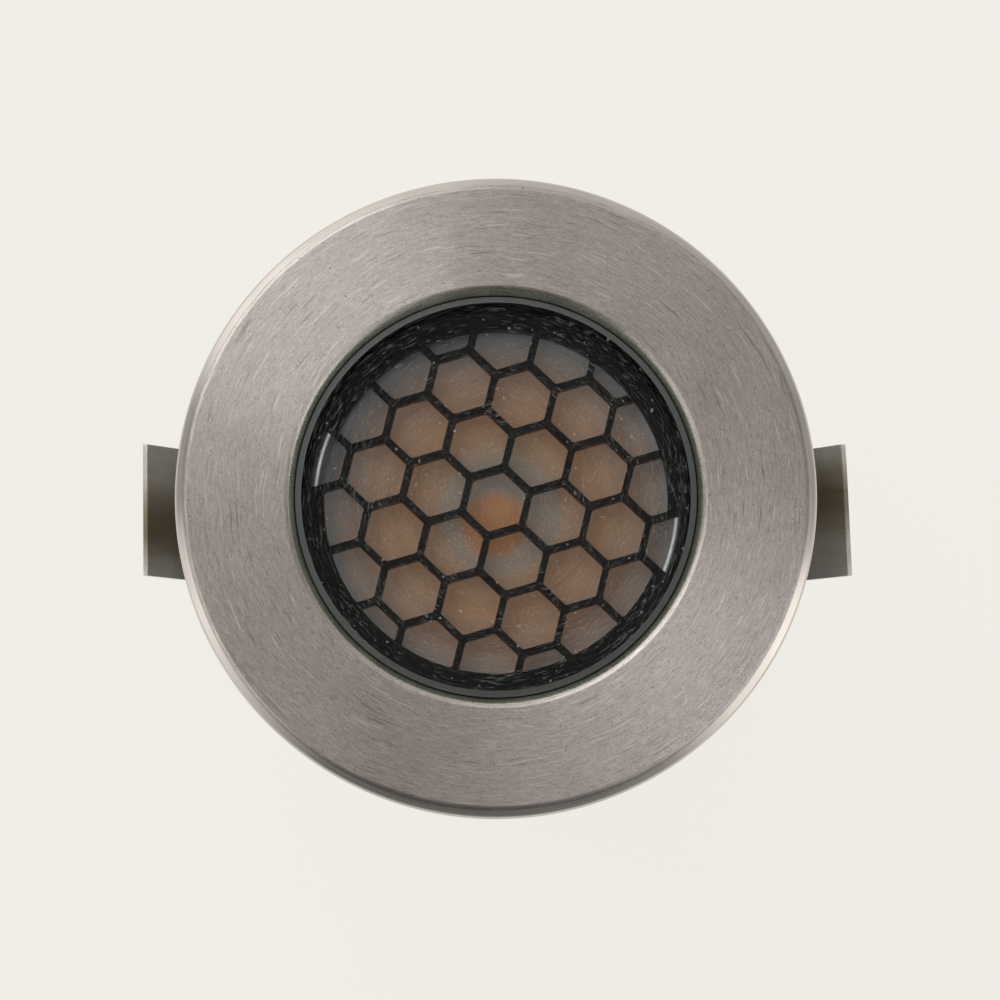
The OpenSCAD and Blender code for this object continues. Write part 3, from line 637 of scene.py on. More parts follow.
# Finishes of the CAD nodes that are shown as they are, by the node's name. The numbers of a moulded one are
# its roughness, grain, depth, contrast and softness.
INNER_FINISHES: dict[str, Finish] = {
    "glass_seal": BLACK_SILICONE,
    "neck_o_ring": BLACK_SILICONE,
    "optic_holder": BLACK_ABS,
    "led_phosphor": Moulded("silicone_phosphor", "#E8B23A", 0.5, 0.1, 0.004, 0.12, 0.3),
    "led_base": Moulded("alumina_ceramic", "#E9E6DC", 0.6, 0.12),
    "led_board": Moulded("white_solder_mask", "#E6E8E5", 0.35, 0.4, 0.004, 0.04),
    "board_screws": SCREW_STEEL,
    "thermal_pad": Moulded("gap_pad_silicone", "#7F9DB5", 0.8, 0.25, 0.02),
    "heat_carrier": BARE_ALUMINIUM,
    "carrier_screws": SCREW_STEEL,
    "led_wire_plus": Moulded("red_wire_silicone", "#A81C16", 0.5, 0.5),
    "led_wire_minus": Moulded("black_wire_silicone", "#141414", 0.5, 0.5, 0.004, 0.2),
    "driver_cup": Moulded("polycarbonate_cup", "#D9D8D0", 0.45, 0.3, 0.006, 0.05, 0.2),
    "driver_board": Moulded("glass_epoxy_laminate", "#1F5A34", 0.4, 0.5, 0.006, 0.15),
    "driver_inductor": Moulded("ferrite", "#3A3A3E", 0.65, 0.2, 0.02, 0.2),
    "driver_capacitors": Moulded("capacitor_sleeve", "#2C3348", 0.35, 0.6, 0.004, 0.1),
    "driver_chips": Moulded("epoxy_chip_case", "#19191B", 0.6, 0.12, 0.008, 0.15),
    "input_terminal": Moulded("polyamide_terminal", "#1F6A3A", 0.5, 0.25, 0.008, 0.1),
}


@dataclass(frozen=True)
class Corner:
    """One corner of a turned profile.

    Attributes:
        r: Distance from the axis, in millimetres.
        z: Height, in millimetres.
        rounding: Distance from the corner at which its fillet starts, in millimetres.
    """

    r: float
    z: float
    rounding: float = 0.0


def linked(name: str, data: bpy.types.ID) -> Piece:
    """Puts an object in the scene.

    Args:
        name: Its name.
        data: Its mesh, lamp or camera.

    Returns:
        The object.
    """
    made = bpy.data.objects.new(name, data)
    bpy.context.scene.collection.objects.link(made)
    return made


def settled(name: str, bm: Mesh) -> bpy.types.Mesh:
    """Turns a working mesh to one that an object can have.

    Args:
        name: The new mesh's name.
        bm: The working mesh, which is freed.

    Returns:
        The new mesh.
    """
    mesh = bpy.data.meshes.new(name)
    bm.to_mesh(mesh)
    bm.free()
    return mesh


def welded(bm: Mesh) -> None:
    """Merges doubled points, then turns all faces outwards."""
    bmesh.ops.remove_doubles(bm, verts=bm.verts[:], dist=TINY)
    bmesh.ops.recalc_face_normals(bm, faces=bm.faces[:])


def kept(found: Sequence[Any], kind: type) -> list[Any]:
    """Picks the vertices, edges or faces out of what an operator gives back."""
    return [g for g in found if isinstance(g, kind)]


def rounded(
    bm: Mesh, geom: list[Any], size: float, segments: int, of: str = "EDGES", clamp: bool = True
) -> None:
    """Rounds edges, or corners of a flat outline.

    Args:
        bm: Mesh to change.
        geom: What is rounded.
        size: Distance of the rounding from each edge or corner, in millimetres.
        segments: Faces across the rounding.
        of: EDGES or VERTICES.
        clamp: Whether neighbours keep each other from overlapping.
    """
    bmesh.ops.bevel(
        bm,
        geom=geom,
        offset=size * MM,
        offset_type="OFFSET",
        segments=segments,
        profile=0.5,
        affect=of,
        clamp_overlap=clamp,
        material=-1,
    )


def soften(bm: Mesh, width: float, sharper_than: float) -> None:
    """Rounds every sharp edge, as tumbling and handling do.

    Args:
        bm: Mesh to change.
        width: Distance of the rounding from the edge, in millimetres.
        sharper_than: Least angle between an edge's faces, in degrees.
    """
    limit = math.radians(sharper_than)
    sharp = [e for e in bm.edges if len(e.link_faces) == 2 and e.calc_face_angle(0.0) > limit]
    rounded(bm, sharp, width, 2)


def turned(corners: Sequence[Corner], segments: int) -> Mesh:
    """Spins a closed profile round the Z axis, with its corners rounded first.

    Args:
        corners: The profile in order. Corners on the axis close it there.
        segments: Faces round the axis.

    Returns:
        The closed mesh, in metres.
    """
    bm = bmesh.new()
    points = [bm.verts.new((c.r * MM, 0, c.z * MM)) for c in corners]
    bm.faces.new(points)
    for size in sorted({c.rounding for c in corners if c.rounding}):
        alike = [v for v, c in zip(points, corners) if c.rounding == size]
        rounded(bm, alike, size, 6, "VERTICES", False)
    bmesh.ops.delete(bm, geom=bm.faces[:], context="FACES_ONLY")
    on_axis = [e for e in bm.edges if all(abs(v.co.x) < TINY for v in e.verts)]
    bmesh.ops.delete(bm, geom=on_axis, context="EDGES")
    whole = bm.verts[:] + bm.edges[:]
    bmesh.ops.spin(
        bm, geom=whole, cent=(0, 0, 0), axis=(0, 0, 1), angle=FULL_TURN, steps=segments, use_merge=True
    )
    welded(bm)
    return bm


def tube(
    bore: float, out: float, low: float, top: float, roundings: Sequence[float], segments: int
) -> Mesh:
    """Makes a turned ring of square section. Its four roundings start at the lower inner corner."""
    places = ((bore, low), (out, low), (out, top), (bore, top))
    return turned([Corner(*place, size) for place, size in zip(places, roundings)], segments)


def add_rod(bm: Mesh, radius: float, length: float, sides: int, place: Matrix) -> None:
    """Adds a rod or prism along Z, about a place. Its sizes are in metres."""
    bmesh.ops.create_cone(
        bm, cap_ends=True, segments=sides, radius1=radius, radius2=radius, depth=length, matrix=place
    )


def carve(bm: Mesh, cutter: Mesh) -> Mesh:
    """Cuts one closed mesh away from another.

    Args:
        bm: Mesh to cut, which is freed.
        cutter: What is cut away, which is freed.

    Returns:
        The cut mesh.
    """
    blank, tool = (linked("carving", settled("carving", made)) for made in (bm, cutter))
    cut = blank.modifiers.new("cut", "BOOLEAN")
    cut.object = tool
    cut.operation = "DIFFERENCE"
    cut.solver = "EXACT"
    cut.use_self = True
    result = bmesh.new()
    result.from_object(blank, bpy.context.evaluated_depsgraph_get())
    for used in (blank, tool):
        mesh = used.data
        bpy.data.objects.remove(used)
        bpy.data.meshes.remove(mesh)
    bmesh.ops.remove_doubles(result, verts=result.verts[:], dist=TINY)
    return result


def joined(parts: Sequence[Mesh]) -> Mesh:
    """Puts several meshes in one.

    Args:
        parts: The meshes, which are freed.

    Returns:
        One mesh that holds them all.
    """
    whole = bmesh.new()
    for part in parts:
        mesh = settled("part", part)
        whole.from_mesh(mesh)
        bpy.data.meshes.remove(mesh)
    return whole


def add_sweep_map(bm: Mesh) -> None:
    """Gives a turned mesh a UV map whose U runs round the axis, for the direction of brushed lines.

    Args:
        bm: Mesh to change.
    """
    layer = bm.loops.layers.uv.new(SWEEP_MAP)
    for face in bm.faces:
        centre = face.calc_center_median()
        middle = math.atan2(centre.y, centre.x)
        for loop in face.loops:
            co = loop.vert.co
            offset = math.atan2(co.y, co.x) - middle if co.xy.length > TINY else 0.0
            offset = (offset + math.pi) % FULL_TURN - math.pi
            across = co.xy.length - SWEEP_SLOPE * co.z
            loop[layer].uv = ((middle + offset) / FULL_TURN, across / (100 * MM))


def shown(
    name: str,
    bm: Mesh,
    finishes: Sequence[Finish],
    replaces: Sequence[str],
    leaf: str = "",
) -> None:
    """Makes a finished mesh one piece of the light.

    Args:
        name: The piece's name.
        bm: Its mesh, which is freed.
        finishes: Its materials, in the order of its faces' material places.
        replaces: CAD nodes that it stands for.
        leaf: Name that the log gives for where the piece sits. A piece with one keeps its place baked into
            its mesh and is not attached to the fixture.
    """
    add_sweep_map(bm)
    for face in bm.faces:
        face.smooth = True
    for edge in bm.edges:
        edge.smooth = len(edge.link_faces) == 2 and edge.calc_face_angle(0.0) < SMOOTH_BELOW
    mesh = settled(name, bm)
    for finish in finishes:
        mesh.materials.append(finish.material())
    piece = linked(name, mesh)
    piece.modifiers.new("even_shading", "WEIGHTED_NORMAL").keep_sharp = True
    if leaf:
        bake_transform(piece)
    else:
        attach(piece, "fixture")
    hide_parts(*replaces)
    log.info("%s: %d faces on %s", name, len(mesh.polygons), leaf or "fixture")


@dataclass(frozen=True)
class Reach:
    """How far a CAD node reaches, in millimetres."""

    out: float
    top: float
    low: float

    @classmethod
    def of(cls, node: str) -> "Reach":
        """Measures a node along +X and up and down."""
        lowest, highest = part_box(node)
        return cls(highest.x / MM, highest.z / MM, lowest.z / MM)


class BezelZone(Enum):
    """Parts of the bezel with a finish of their own."""

    FACE = 0
    CHAMFER = 1
    LIP = 2
    SKIRT = 3


@dataclass
class Bezel:
    """Turned stainless ring with its flange, lip and spigot, and the foam ring under the flange."""

    chamfer_w: float = 0.88
    chamfer_h: float = 1.2
    lip_w: float = 0.85
    lip_top_r: float = 19.5
    land_r: float = 18.85
    spigot_r: float = 25.0
    groove: float = 0.5
    spigot_chamfer: float = 0.6
    neck_bore_r: float = 23.0
    pocket_r: float = 21.65
    pocket_low: float = -1.05
    ledge: float = 2.4
    face_tilt: float = 0.8
    face_depth: float = 0.2
    foam_gap: float = 0.1
    segments: int = 300
    foam_segments: int = 192

    def __post_init__(self) -> None:
        """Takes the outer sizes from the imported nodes."""
        self.reach = Reach.of("bezel")
        self.gasket = Reach.of("flange_gasket")

    def zone(self, face: bmesh.types.BMFace) -> BezelZone:
        """Tells which part of the bezel a face belongs to.

        Args:
            face: The face.

        Returns:
            Its zone.
        """
        centre = face.calc_center_median()
        depth = self.reach.top - centre.z / MM
        is_inner = centre.xy.length / MM < self.spigot_r
        if face.normal.z > self.face_tilt and depth < self.face_depth:
            return BezelZone.FACE
        if is_inner and depth < self.lip_w + 0.01:
            return BezelZone.LIP
        if not is_inner and depth < self.chamfer_h + 0.1:
            return BezelZone.CHAMFER
        return BezelZone.SKIRT

    def ring(self) -> None:
        """Makes the bezel itself."""
        out, top, low = self.reach.out, self.reach.top, self.reach.low
        seat = self.gasket.top
        profile = [
            Corner(self.lip_top_r, top, 0.32),
            Corner(out - self.chamfer_w, top, 0.34),
            Corner(out, top - self.chamfer_h, 0.42),
            Corner(out, seat, 0.15),
            Corner(self.spigot_r - self.groove, seat, 0.05),
            Corner(self.spigot_r - self.groove, 0.0, 0.05),
            Corner(self.spigot_r, 0.0, 0.08),
            Corner(self.spigot_r, low + self.spigot_chamfer, 0.1),
            Corner(self.spigot_r - self.spigot_chamfer, low, 0.1),
            Corner(self.neck_bore_r, low, 0.15),
            Corner(self.neck_bore_r, self.pocket_low),
            Corner(self.pocket_r, self.pocket_low, 0.1),
            Corner(self.pocket_r, self.ledge),
            Corner(self.land_r, self.ledge, 0.05),
            Corner(self.land_r, top - self.lip_w, 0.06),
        ]
        bm = turned(profile, self.segments)
        for face in bm.faces:
            face.material_index = self.zone(face).value
        finishes = [BRUSHED_STEEL, TURNED_STEEL, BLASTED_STEEL, SKIRT_STEEL]
        shown("bezel_ring", bm, finishes, ["bezel"])

    def foam(self) -> None:
        """Makes the foam ring, which bulges a little where the flange squeezes it."""
        inner = self.spigot_r - self.groove + self.foam_gap
        top, out = self.gasket.top, self.gasket.out
        profile = [
            Corner(inner, top),
            Corner(inner, top / 2, 0.1),
            Corner(self.spigot_r + self.foam_gap, 0.0, 0.1),
            Corner(out - 0.12, 0.0, 0.12),
            Corner(out, top * 0.35, 0.2),
            Corner(out, top * 0.75, 0.15),
            Corner(out - 0.08, top),
        ]
        bm = turned(profile, self.foam_segments)
        shown("foam_ring", bm, [EPDM_FOAM], ["flange_gasket"])

    def build(self) -> None:
        """Makes both pieces."""
        self.ring()
        self.foam()


@dataclass
class Window:
    """The stepped glass and its ground edge."""

    glass_r: float = 18.75
    step_top: float = 1.9
    arris_w: float = 0.55
    chamfer: float = 0.3
    segments: int = 240

    def build(self) -> None:
        """Makes the glass, with its ground arris and step as a finish of their own."""
        reach = Reach.of("glass_lens")
        profile = [
            Corner(0.0, reach.low),
            Corner(reach.out - self.chamfer, reach.low, 0.05),
            Corner(reach.out, reach.low + self.chamfer, 0.05),
            Corner(reach.out, self.step_top, 0.1),
            Corner(self.glass_r, self.step_top, 0.08),
            Corner(self.glass_r, reach.top - self.arris_w, 0.06),
            Corner(self.glass_r - self.arris_w, reach.top, 0.05),
            Corner(0.0, reach.top),
        ]
        bm = turned(profile, self.segments)
        clear_r = (self.glass_r - self.arris_w - 0.03) * MM
        for face in bm.faces:
            centre = face.calc_center_median()
            is_underside = abs(face.normal.z) > 0.99 and centre.z < 0
            face.material_index = int(centre.xy.length > clear_r and not is_underside)
        shown("glass_disc", bm, [CLEAR_GLASS, GLASS_EDGE], ["glass_lens"])


@dataclass
class Louvre:
    """Moulded honeycomb grid under the glass, with a raised rim and two open cells at its edge."""

    pitch: float = 5.8
    wall: float = 0.65
    turn: float = -13.65
    grid_r: float = 16.25
    window_r: float = 17.5
    plate_t: float = 3.0
    rim_w: float = 0.5
    corner: float = 0.75
    corner_below: float = 155.0
    rings: int = 3
    past: float = 1.0
    tangent_step: int = 5
    corner_segments: int = 4
    rim_segments: int = 144

    def cell(self, bm: Mesh, x: float, y: float, z: float) -> None:
        """Adds one hexagon, with its flats towards its neighbours.

        Args:
            bm: Mesh to add to.
            x: Its centre along the first row, in millimetres.
            y: Its centre across the rows, in millimetres.
            z: Its height, in millimetres.
        """
        place = Matrix.Rotation(math.radians(self.turn), 4, "Z") @ Matrix.Translation(Vector((x, y, z)) * MM)
        radius = (self.pitch - self.wall) / math.sqrt(3) * MM
        bmesh.ops.create_circle(bm, cap_ends=True, segments=6, radius=radius, matrix=place)

    def clip(self, bm: Mesh, radius: float) -> None:
        """Cuts away what lies outside a circle, by its tangents.

        Args:
            bm: Mesh of the cells.
            radius: The circle's radius, in millimetres.
        """
        for degrees in range(0, 360, self.tangent_step):
            angle = math.radians(degrees)
            outward = Vector((math.cos(angle), math.sin(angle), 0))
            bmesh.ops.bisect_plane(
                bm,
                geom=bm.verts[:] + bm.edges[:] + bm.faces[:],
                plane_co=outward * radius * MM,
                plane_no=outward,
                clear_outer=True,
            )

    def cells(self, plate_top: float) -> Mesh:
        """Makes what the cells cut away: prisms through the plate, with the corners of the mould's cutter.

        Args:
            plate_top: Height of the plate's upper face, in millimetres.

        Returns:
            The prisms.
        """
        bm = bmesh.new()
        above = plate_top + self.past
        ends = (-self.rings, self.rings)
        for i in range(-self.rings, self.rings + 1):
            for j in range(max(-self.rings, -i - self.rings), min(self.rings, self.rings - i) + 1):
                if j or i not in ends:
                    self.cell(bm, self.pitch * (i + j / 2), self.pitch * j * math.sqrt(3) / 2, above)
        self.clip(bm, self.grid_r)
        for end in ends:
            self.cell(bm, self.pitch * end, 0, above)
        self.clip(bm, self.window_r)
        bmesh.ops.remove_doubles(bm, verts=bm.verts[:], dist=NEAR)
        sharp = math.radians(self.corner_below)
        corners = [v for v in bm.verts if any(loop.calc_angle() < sharp for loop in v.link_loops)]
        rounded(bm, corners, self.corner, self.corner_segments, "VERTICES")
        self.draw_out(bm, bm.faces[:], -self.plate_t - 2 * self.past)
        bmesh.ops.recalc_face_normals(bm, faces=bm.faces[:])
        return bm

    def draw_out(self, bm: Mesh, faces: list[bmesh.types.BMFace], rise: float) -> list[bmesh.types.BMFace]:
        """Extrudes faces along Z, and leaves them where they were too.

        Args:
            bm: Mesh to change.
            faces: What to extrude.
            rise: How far, in millimetres.

        Returns:
            The moved faces.
        """
        made = bmesh.ops.extrude_face_region(bm, geom=faces, use_keep_orig=True)["geom"]
        moved = kept(made, bmesh.types.BMVert)
        bmesh.ops.translate(bm, verts=moved, vec=(0, 0, rise * MM))
        return [f for f in kept(made, bmesh.types.BMFace) if all(v in moved for v in f.verts)]

    def build(self) -> None:
        """Makes the grid: a disc with a sunk middle, and the cells cut through it."""
        reach = Reach.of("honeycomb_louvre")
        plate_top = reach.low + self.plate_t
        bm = bmesh.new()
        foot = Matrix.Translation((0, 0, reach.low * MM))
        radius = reach.out * MM
        bmesh.ops.create_circle(bm, cap_ends=True, segments=self.rim_segments, radius=radius, matrix=foot)
        lid = self.draw_out(bm, bm.faces[:], reach.top - reach.low)
        bmesh.ops.inset_region(bm, faces=lid, thickness=self.rim_w * MM, use_even_offset=True)
        self.draw_out(bm, lid, plate_top - reach.top)
        bmesh.ops.delete(bm, geom=lid, context="FACES")
        bmesh.ops.recalc_face_normals(bm, faces=bm.faces[:])
        bm = carve(bm, self.cells(plate_top))
        soften(bm, width=0.08, sharper_than=60)
        shown("honeycomb_grid", bm, [BLACK_ABS], ["honeycomb_louvre"])


@dataclass
class Collimator:
    """Frosted optic under the louvre."""

    flange_t: float = 1.5
    flange_w: float = 0.9
    foot_r: float = 5.6
    pocket_r: float = 4.0
    pocket_h: float = 5.0
    pocket_taper: float = 0.4
    cone_power: float = 0.75
    cone_steps: int = 14
    segments: int = 192

    def build(self) -> None:
        """Makes the optic: flange with a rounded rim, curved cone and pocket."""
        reach = Reach.of("tir_optic")
        cone_h = reach.top - self.flange_t - reach.low
        cone_w = reach.out - self.flange_w - self.foot_r
        shares = [i / self.cone_steps for i in range(self.cone_steps + 1)]
        profile = [
            Corner(0.0, reach.low + self.pocket_h),
            Corner(self.pocket_r - self.pocket_taper, reach.low + self.pocket_h, 0.3),
            Corner(self.pocket_r, reach.low),
            *(Corner(self.foot_r + cone_w * u**self.cone_power, reach.low + cone_h * u) for u in shares),
            Corner(reach.out, reach.top - self.flange_t, 0.1),
            Corner(reach.out, reach.top, 0.35),
            Corner(0.0, reach.top),
        ]
        bm = turned(profile, self.segments)
        shown("collimator", bm, [SATIN_OPTIC], ["tir_optic"])


@dataclass
class Can:
    """Black anodised housing with its cooling grooves and the two slots for the clips."""

    bore_r: float = 18.5
    neck_end: float = -8.6
    body_r: float = 22.0
    driver_bore_r: float = 14.4
    shoulder: float = -27.35
    bottom_t: float = 4.0
    chamfer: float = 1.2
    gland_bore_r: float = 6.05
    o_groove_z: float = -7.2
    o_groove_w: float = 1.46
    o_groove_r: float = 21.79
    groove_count: int = 4
    first_groove: float = -11.5
    groove_pitch: float = 2.6
    groove_w: float = 1.3
    groove_depth: float = 1.0
    slot_x: float = 20.0
    slot_w: float = 13.1
    slot_top: float = -20.7714
    slot_past: float = 2.0
    segments: int = 192

    def grooves(self) -> list[Corner]:
        """Corners of the cooling grooves, from the top one down.

        Returns:
            Four corners for each groove.
        """
        corners = []
        inner = self.body_r - self.groove_depth
        for i in range(self.groove_count):
            top = self.first_groove - i * self.groove_pitch
            low = top - self.groove_w
            corners += [Corner(self.body_r, top, 0.12), Corner(inner, top, 0.15)]
            corners += [Corner(inner, low, 0.15), Corner(self.body_r, low, 0.12)]
        return corners

    def slots(self, low: float) -> Mesh:
        """What is cut away for the clips: a block on each side.

        Args:
            low: Height of the housing's bottom, in millimetres.

        Returns:
            Both blocks.
        """
        bm = bmesh.new()
        height = self.slot_top - low + self.slot_past
        depth = self.body_r - self.slot_x + self.slot_past
        size = Vector((depth, self.slot_w, height)) * MM
        for side in (-1, 1):
            centre = Vector((side * (self.slot_x + depth / 2), 0, self.slot_top - height / 2)) * MM
            place = Matrix.Translation(centre) @ Matrix.Diagonal((*size, 1))
            bmesh.ops.create_cube(bm, size=1.0, matrix=place)
        return bm

    def build(self) -> None:
        """Makes the housing: the turned can, then its slots."""
        reach = Reach.of("housing")
        o_top = self.o_groove_z + self.o_groove_w / 2
        inside = reach.low + self.bottom_t
        profile = [
            Corner(self.bore_r, reach.top, 0.1),
            Corner(reach.out, reach.top, 0.15),
            Corner(reach.out, o_top, 0.05),
            Corner(self.o_groove_r, o_top),
            Corner(self.o_groove_r, o_top - self.o_groove_w),
            Corner(reach.out, o_top - self.o_groove_w, 0.05),
            Corner(reach.out, self.neck_end, 0.15),
            Corner(self.body_r, self.neck_end, 0.1),
            *self.grooves(),
            Corner(self.body_r, reach.low + self.chamfer, 0.15),
            Corner(self.body_r - self.chamfer, reach.low, 0.15),
            Corner(self.gland_bore_r, reach.low, 0.1),
            Corner(self.gland_bore_r, inside),
            Corner(self.driver_bore_r, inside, 0.2),
            Corner(self.driver_bore_r, self.shoulder, 0.1),
            Corner(self.bore_r, self.shoulder, 0.2),
        ]
        bm = carve(turned(profile, self.segments), self.slots(reach.low))
        soften(bm, width=0.12, sharper_than=50)
        shown("anodised_can", bm, [BLACK_ANODISED], ["housing"])


@dataclass
class SpringClip:
    """One spring clip: a strip from its screwed foot over a bend to its free end, its screw and washer."""

    side: int
    twist: float
    width: float = 12.7
    thickness: float = 0.5
    slot_x: float = 20.0
    bend_r: float = 1.5
    angle: float = math.radians(28)
    foot_low: float = -52.3812
    foot_l: float = 13.5
    foot_corner: float = 1.4
    screw_z: float = -46.3812
    pivot: tuple[float, float] = (20.6145, -37.7594)
    leaf_l: float = 28.0417
    flex: float = 2.8
    tip_round: float = 0.1
    tip_zone: float = 0.4
    tip_segments: int = 4
    hole_r: float = 1.7
    hole_segments: int = 48
    washer_r: float = 3.5
    washer_t: float = 0.5
    washer_gap: float = 0.1
    screw_r: float = 1.5
    head_r: float = 2.85
    head_h: float = 1.8
    screw_l: float = 4.5
    socket_r: float = 1.425
    socket_depth: float = 1.08
    segments: int = 72
    across: int = 10
    foot_steps: int = 12
    bend_steps: int = 7
    leaf_steps: int = 56

    def strip(self) -> None:
        """Makes the strip as it lies on the right, and turns it to its side of the light."""
        bm = self.sheet()
        rise = Vector((math.sin(self.angle), 0, math.cos(self.angle)))
        hinge = Vector((self.pivot[0], 0, self.pivot[1]))
        end = (hinge.dot(rise) + self.leaf_l) * MM
        self.draw_leaf(bm, rise, hinge * MM, end)
        welded(bm)
        bmesh.ops.solidify(bm, geom=bm.faces[:], thickness=-self.thickness * MM)
        self.round_tip(bm, rise, end)
        bm = carve(bm, self.foot_cuts())
        soften(bm, width=0.07, sharper_than=50)
        bend = [(hinge - rise * self.flex) * MM, (hinge + rise * self.flex) * MM]
        if self.side < 0:
            bmesh.ops.rotate(bm, verts=bm.verts[:], cent=(0, 0, 0), matrix=Matrix.Rotation(math.pi, 3, "Z"))
            bend = [Vector((-point.x, 0, point.z)) for point in bend]
        word = "right" if self.side > 0 else "left"
        nodes = [f"{word}_clip_foot", f"{word}_clip_leaf"]
        shown(f"{word}_clip_strip", bm, [SPRING_STRIP], nodes, f"{word}_leaf")

    def sheet(self) -> Mesh:
        """Draws the inner face of the foot and of the bend.

        Returns:
            The face, without thickness.
        """
        bm = bmesh.new()
        middle = Matrix.Translation((self.slot_x * MM, 0, (self.foot_low + self.foot_l / 2) * MM))
        upright = Matrix.Rotation(math.radians(90), 4, "Z") @ Matrix.Rotation(math.radians(90), 4, "X")
        size = Matrix.Diagonal((self.width * MM, self.foot_l * MM, 1, 1))
        bmesh.ops.create_grid(
            bm, x_segments=self.across, y_segments=self.foot_steps, size=0.5, matrix=middle @ upright @ size
        )
        bend_z = (self.foot_low + self.foot_l) * MM
        bmesh.ops.spin(
            bm,
            geom=[e for e in bm.edges if all(abs(v.co.z - bend_z) < NEAR for v in e.verts)],
            cent=((self.slot_x + self.thickness + self.bend_r) * MM, 0, bend_z),
            axis=(0, 1, 0),
            angle=self.angle,
            steps=self.bend_steps,
        )
        return bm

    def draw_leaf(self, bm: Mesh, rise: Vector, hinge: Vector, end: float) -> None:
        """Draws the leaf out of the bend, and twists it a little, as handling leaves it.

        Args:
            bm: Mesh of the foot and the bend.
            rise: Direction of the leaf.
            hinge: Where the leaf turns, in metres.
            end: Where the leaf ends along that direction, in metres.
        """
        start = max(v.co.dot(rise) for v in bm.verts)
        row = [e for e in bm.edges if all(v.co.dot(rise) > start - TINY for v in e.verts)]
        step = (end - start) / self.leaf_steps
        for _ in range(self.leaf_steps):
            made = bmesh.ops.extrude_edge_only(bm, edges=row)["geom"]
            row = kept(made, bmesh.types.BMEdge)
            bmesh.ops.translate(bm, verts=kept(made, bmesh.types.BMVert), vec=rise * step)
        for vert in bm.verts:
            share = (vert.co.dot(rise) - start) / (end - start)
            if share > 0:
                turn = Matrix.Rotation(math.radians(self.twist) * min(share, 1.0), 3, rise)
                vert.co = turn @ (vert.co - hinge) + hinge

    def round_tip(self, bm: Mesh, rise: Vector, end: float) -> None:
        """Rounds the inner edge of the free end, where the strip was ground.

        Args:
            bm: Mesh of the strip, with its thickness.
            rise: Direction of the leaf.
            end: Where the leaf ends along that direction, in metres.
        """
        inward = Vector((-rise.z, 0, rise.x))
        last = [v for v in bm.verts if v.co.dot(rise) > end - self.tip_zone * MM]
        middle = sum(v.co.dot(inward) for v in last) / len(last)
        inner = [v for v in last if v.co.dot(inward) > middle]
        edges = [e for e in bm.edges if all(v in inner for v in e.verts) and e.calc_face_angle(0.0) > 1.0]
        rounded(bm, edges, self.tip_round, self.tip_segments)

    def foot_cuts(self) -> Mesh:
        """What is cut from the foot: its screw hole and its two corners.

        Returns:
            The cutters.
        """
        cutter = bmesh.new()
        through = 4 * self.thickness * MM
        middle_x = (self.slot_x + self.thickness / 2) * MM
        place = Matrix.Translation((middle_x, 0, self.screw_z * MM)) @ Matrix.Rotation(math.pi / 2, 4, "Y")
        add_rod(cutter, self.hole_r * MM, through, self.hole_segments, place)
        side = self.foot_corner * math.sqrt(2) * MM
        for edge in (-1, 1):
            place = Matrix.Translation((middle_x, edge * self.width / 2 * MM, self.foot_low * MM))
            turn = Matrix.Rotation(math.radians(45), 4, "X")
            block = Matrix.Diagonal((through, side, side, 1))
            bmesh.ops.create_cube(cutter, size=1.0, matrix=place @ turn @ block)
        return cutter

    def face_out(self, bm: Mesh, seat: float) -> Mesh:
        """Turns a piece from its own axis to the clip screw's.

        Args:
            bm: Mesh that stands on the XY plane, facing up.
            seat: Distance of its seat from the light's axis, in millimetres.

        Returns:
            The same mesh.
        """
        turn = Matrix.Rotation(math.radians(90) * self.side, 4, "Y")
        place = Matrix.Translation((self.side * seat * MM, 0, self.screw_z * MM))
        bmesh.ops.transform(bm, verts=bm.verts[:], matrix=place @ turn)
        return bm

    def washer(self) -> Mesh:
        """Makes the washer on the foot.

        Returns:
            Its mesh.
        """
        bore = self.screw_r + self.washer_gap
        bm = tube(bore, self.washer_r, 0.0, self.washer_t, (0.0, 0.08, 0.15, 0.08), self.segments)
        return self.face_out(bm, self.slot_x + self.thickness)

    def screw(self) -> Mesh:
        """Makes the screw, with its hexagon socket.

        Returns:
            Its mesh.
        """
        profile = [
            Corner(0.0, -self.screw_l),
            Corner(self.screw_r, -self.screw_l, 0.25),
            Corner(self.screw_r, 0.0),
            Corner(self.head_r, 0.0, 0.08),
            Corner(self.head_r, self.head_h, 0.28),
            Corner(0.0, self.head_h),
        ]
        socket = bmesh.new()
        place = Matrix.Translation((0, 0, self.head_h * MM))
        add_rod(socket, self.socket_r * MM, 2 * self.socket_depth * MM, 6, place)
        bm = carve(turned(profile, self.segments), socket)
        soften(bm, width=0.05, sharper_than=50)
        return self.face_out(bm, self.slot_x + self.thickness + self.washer_t)


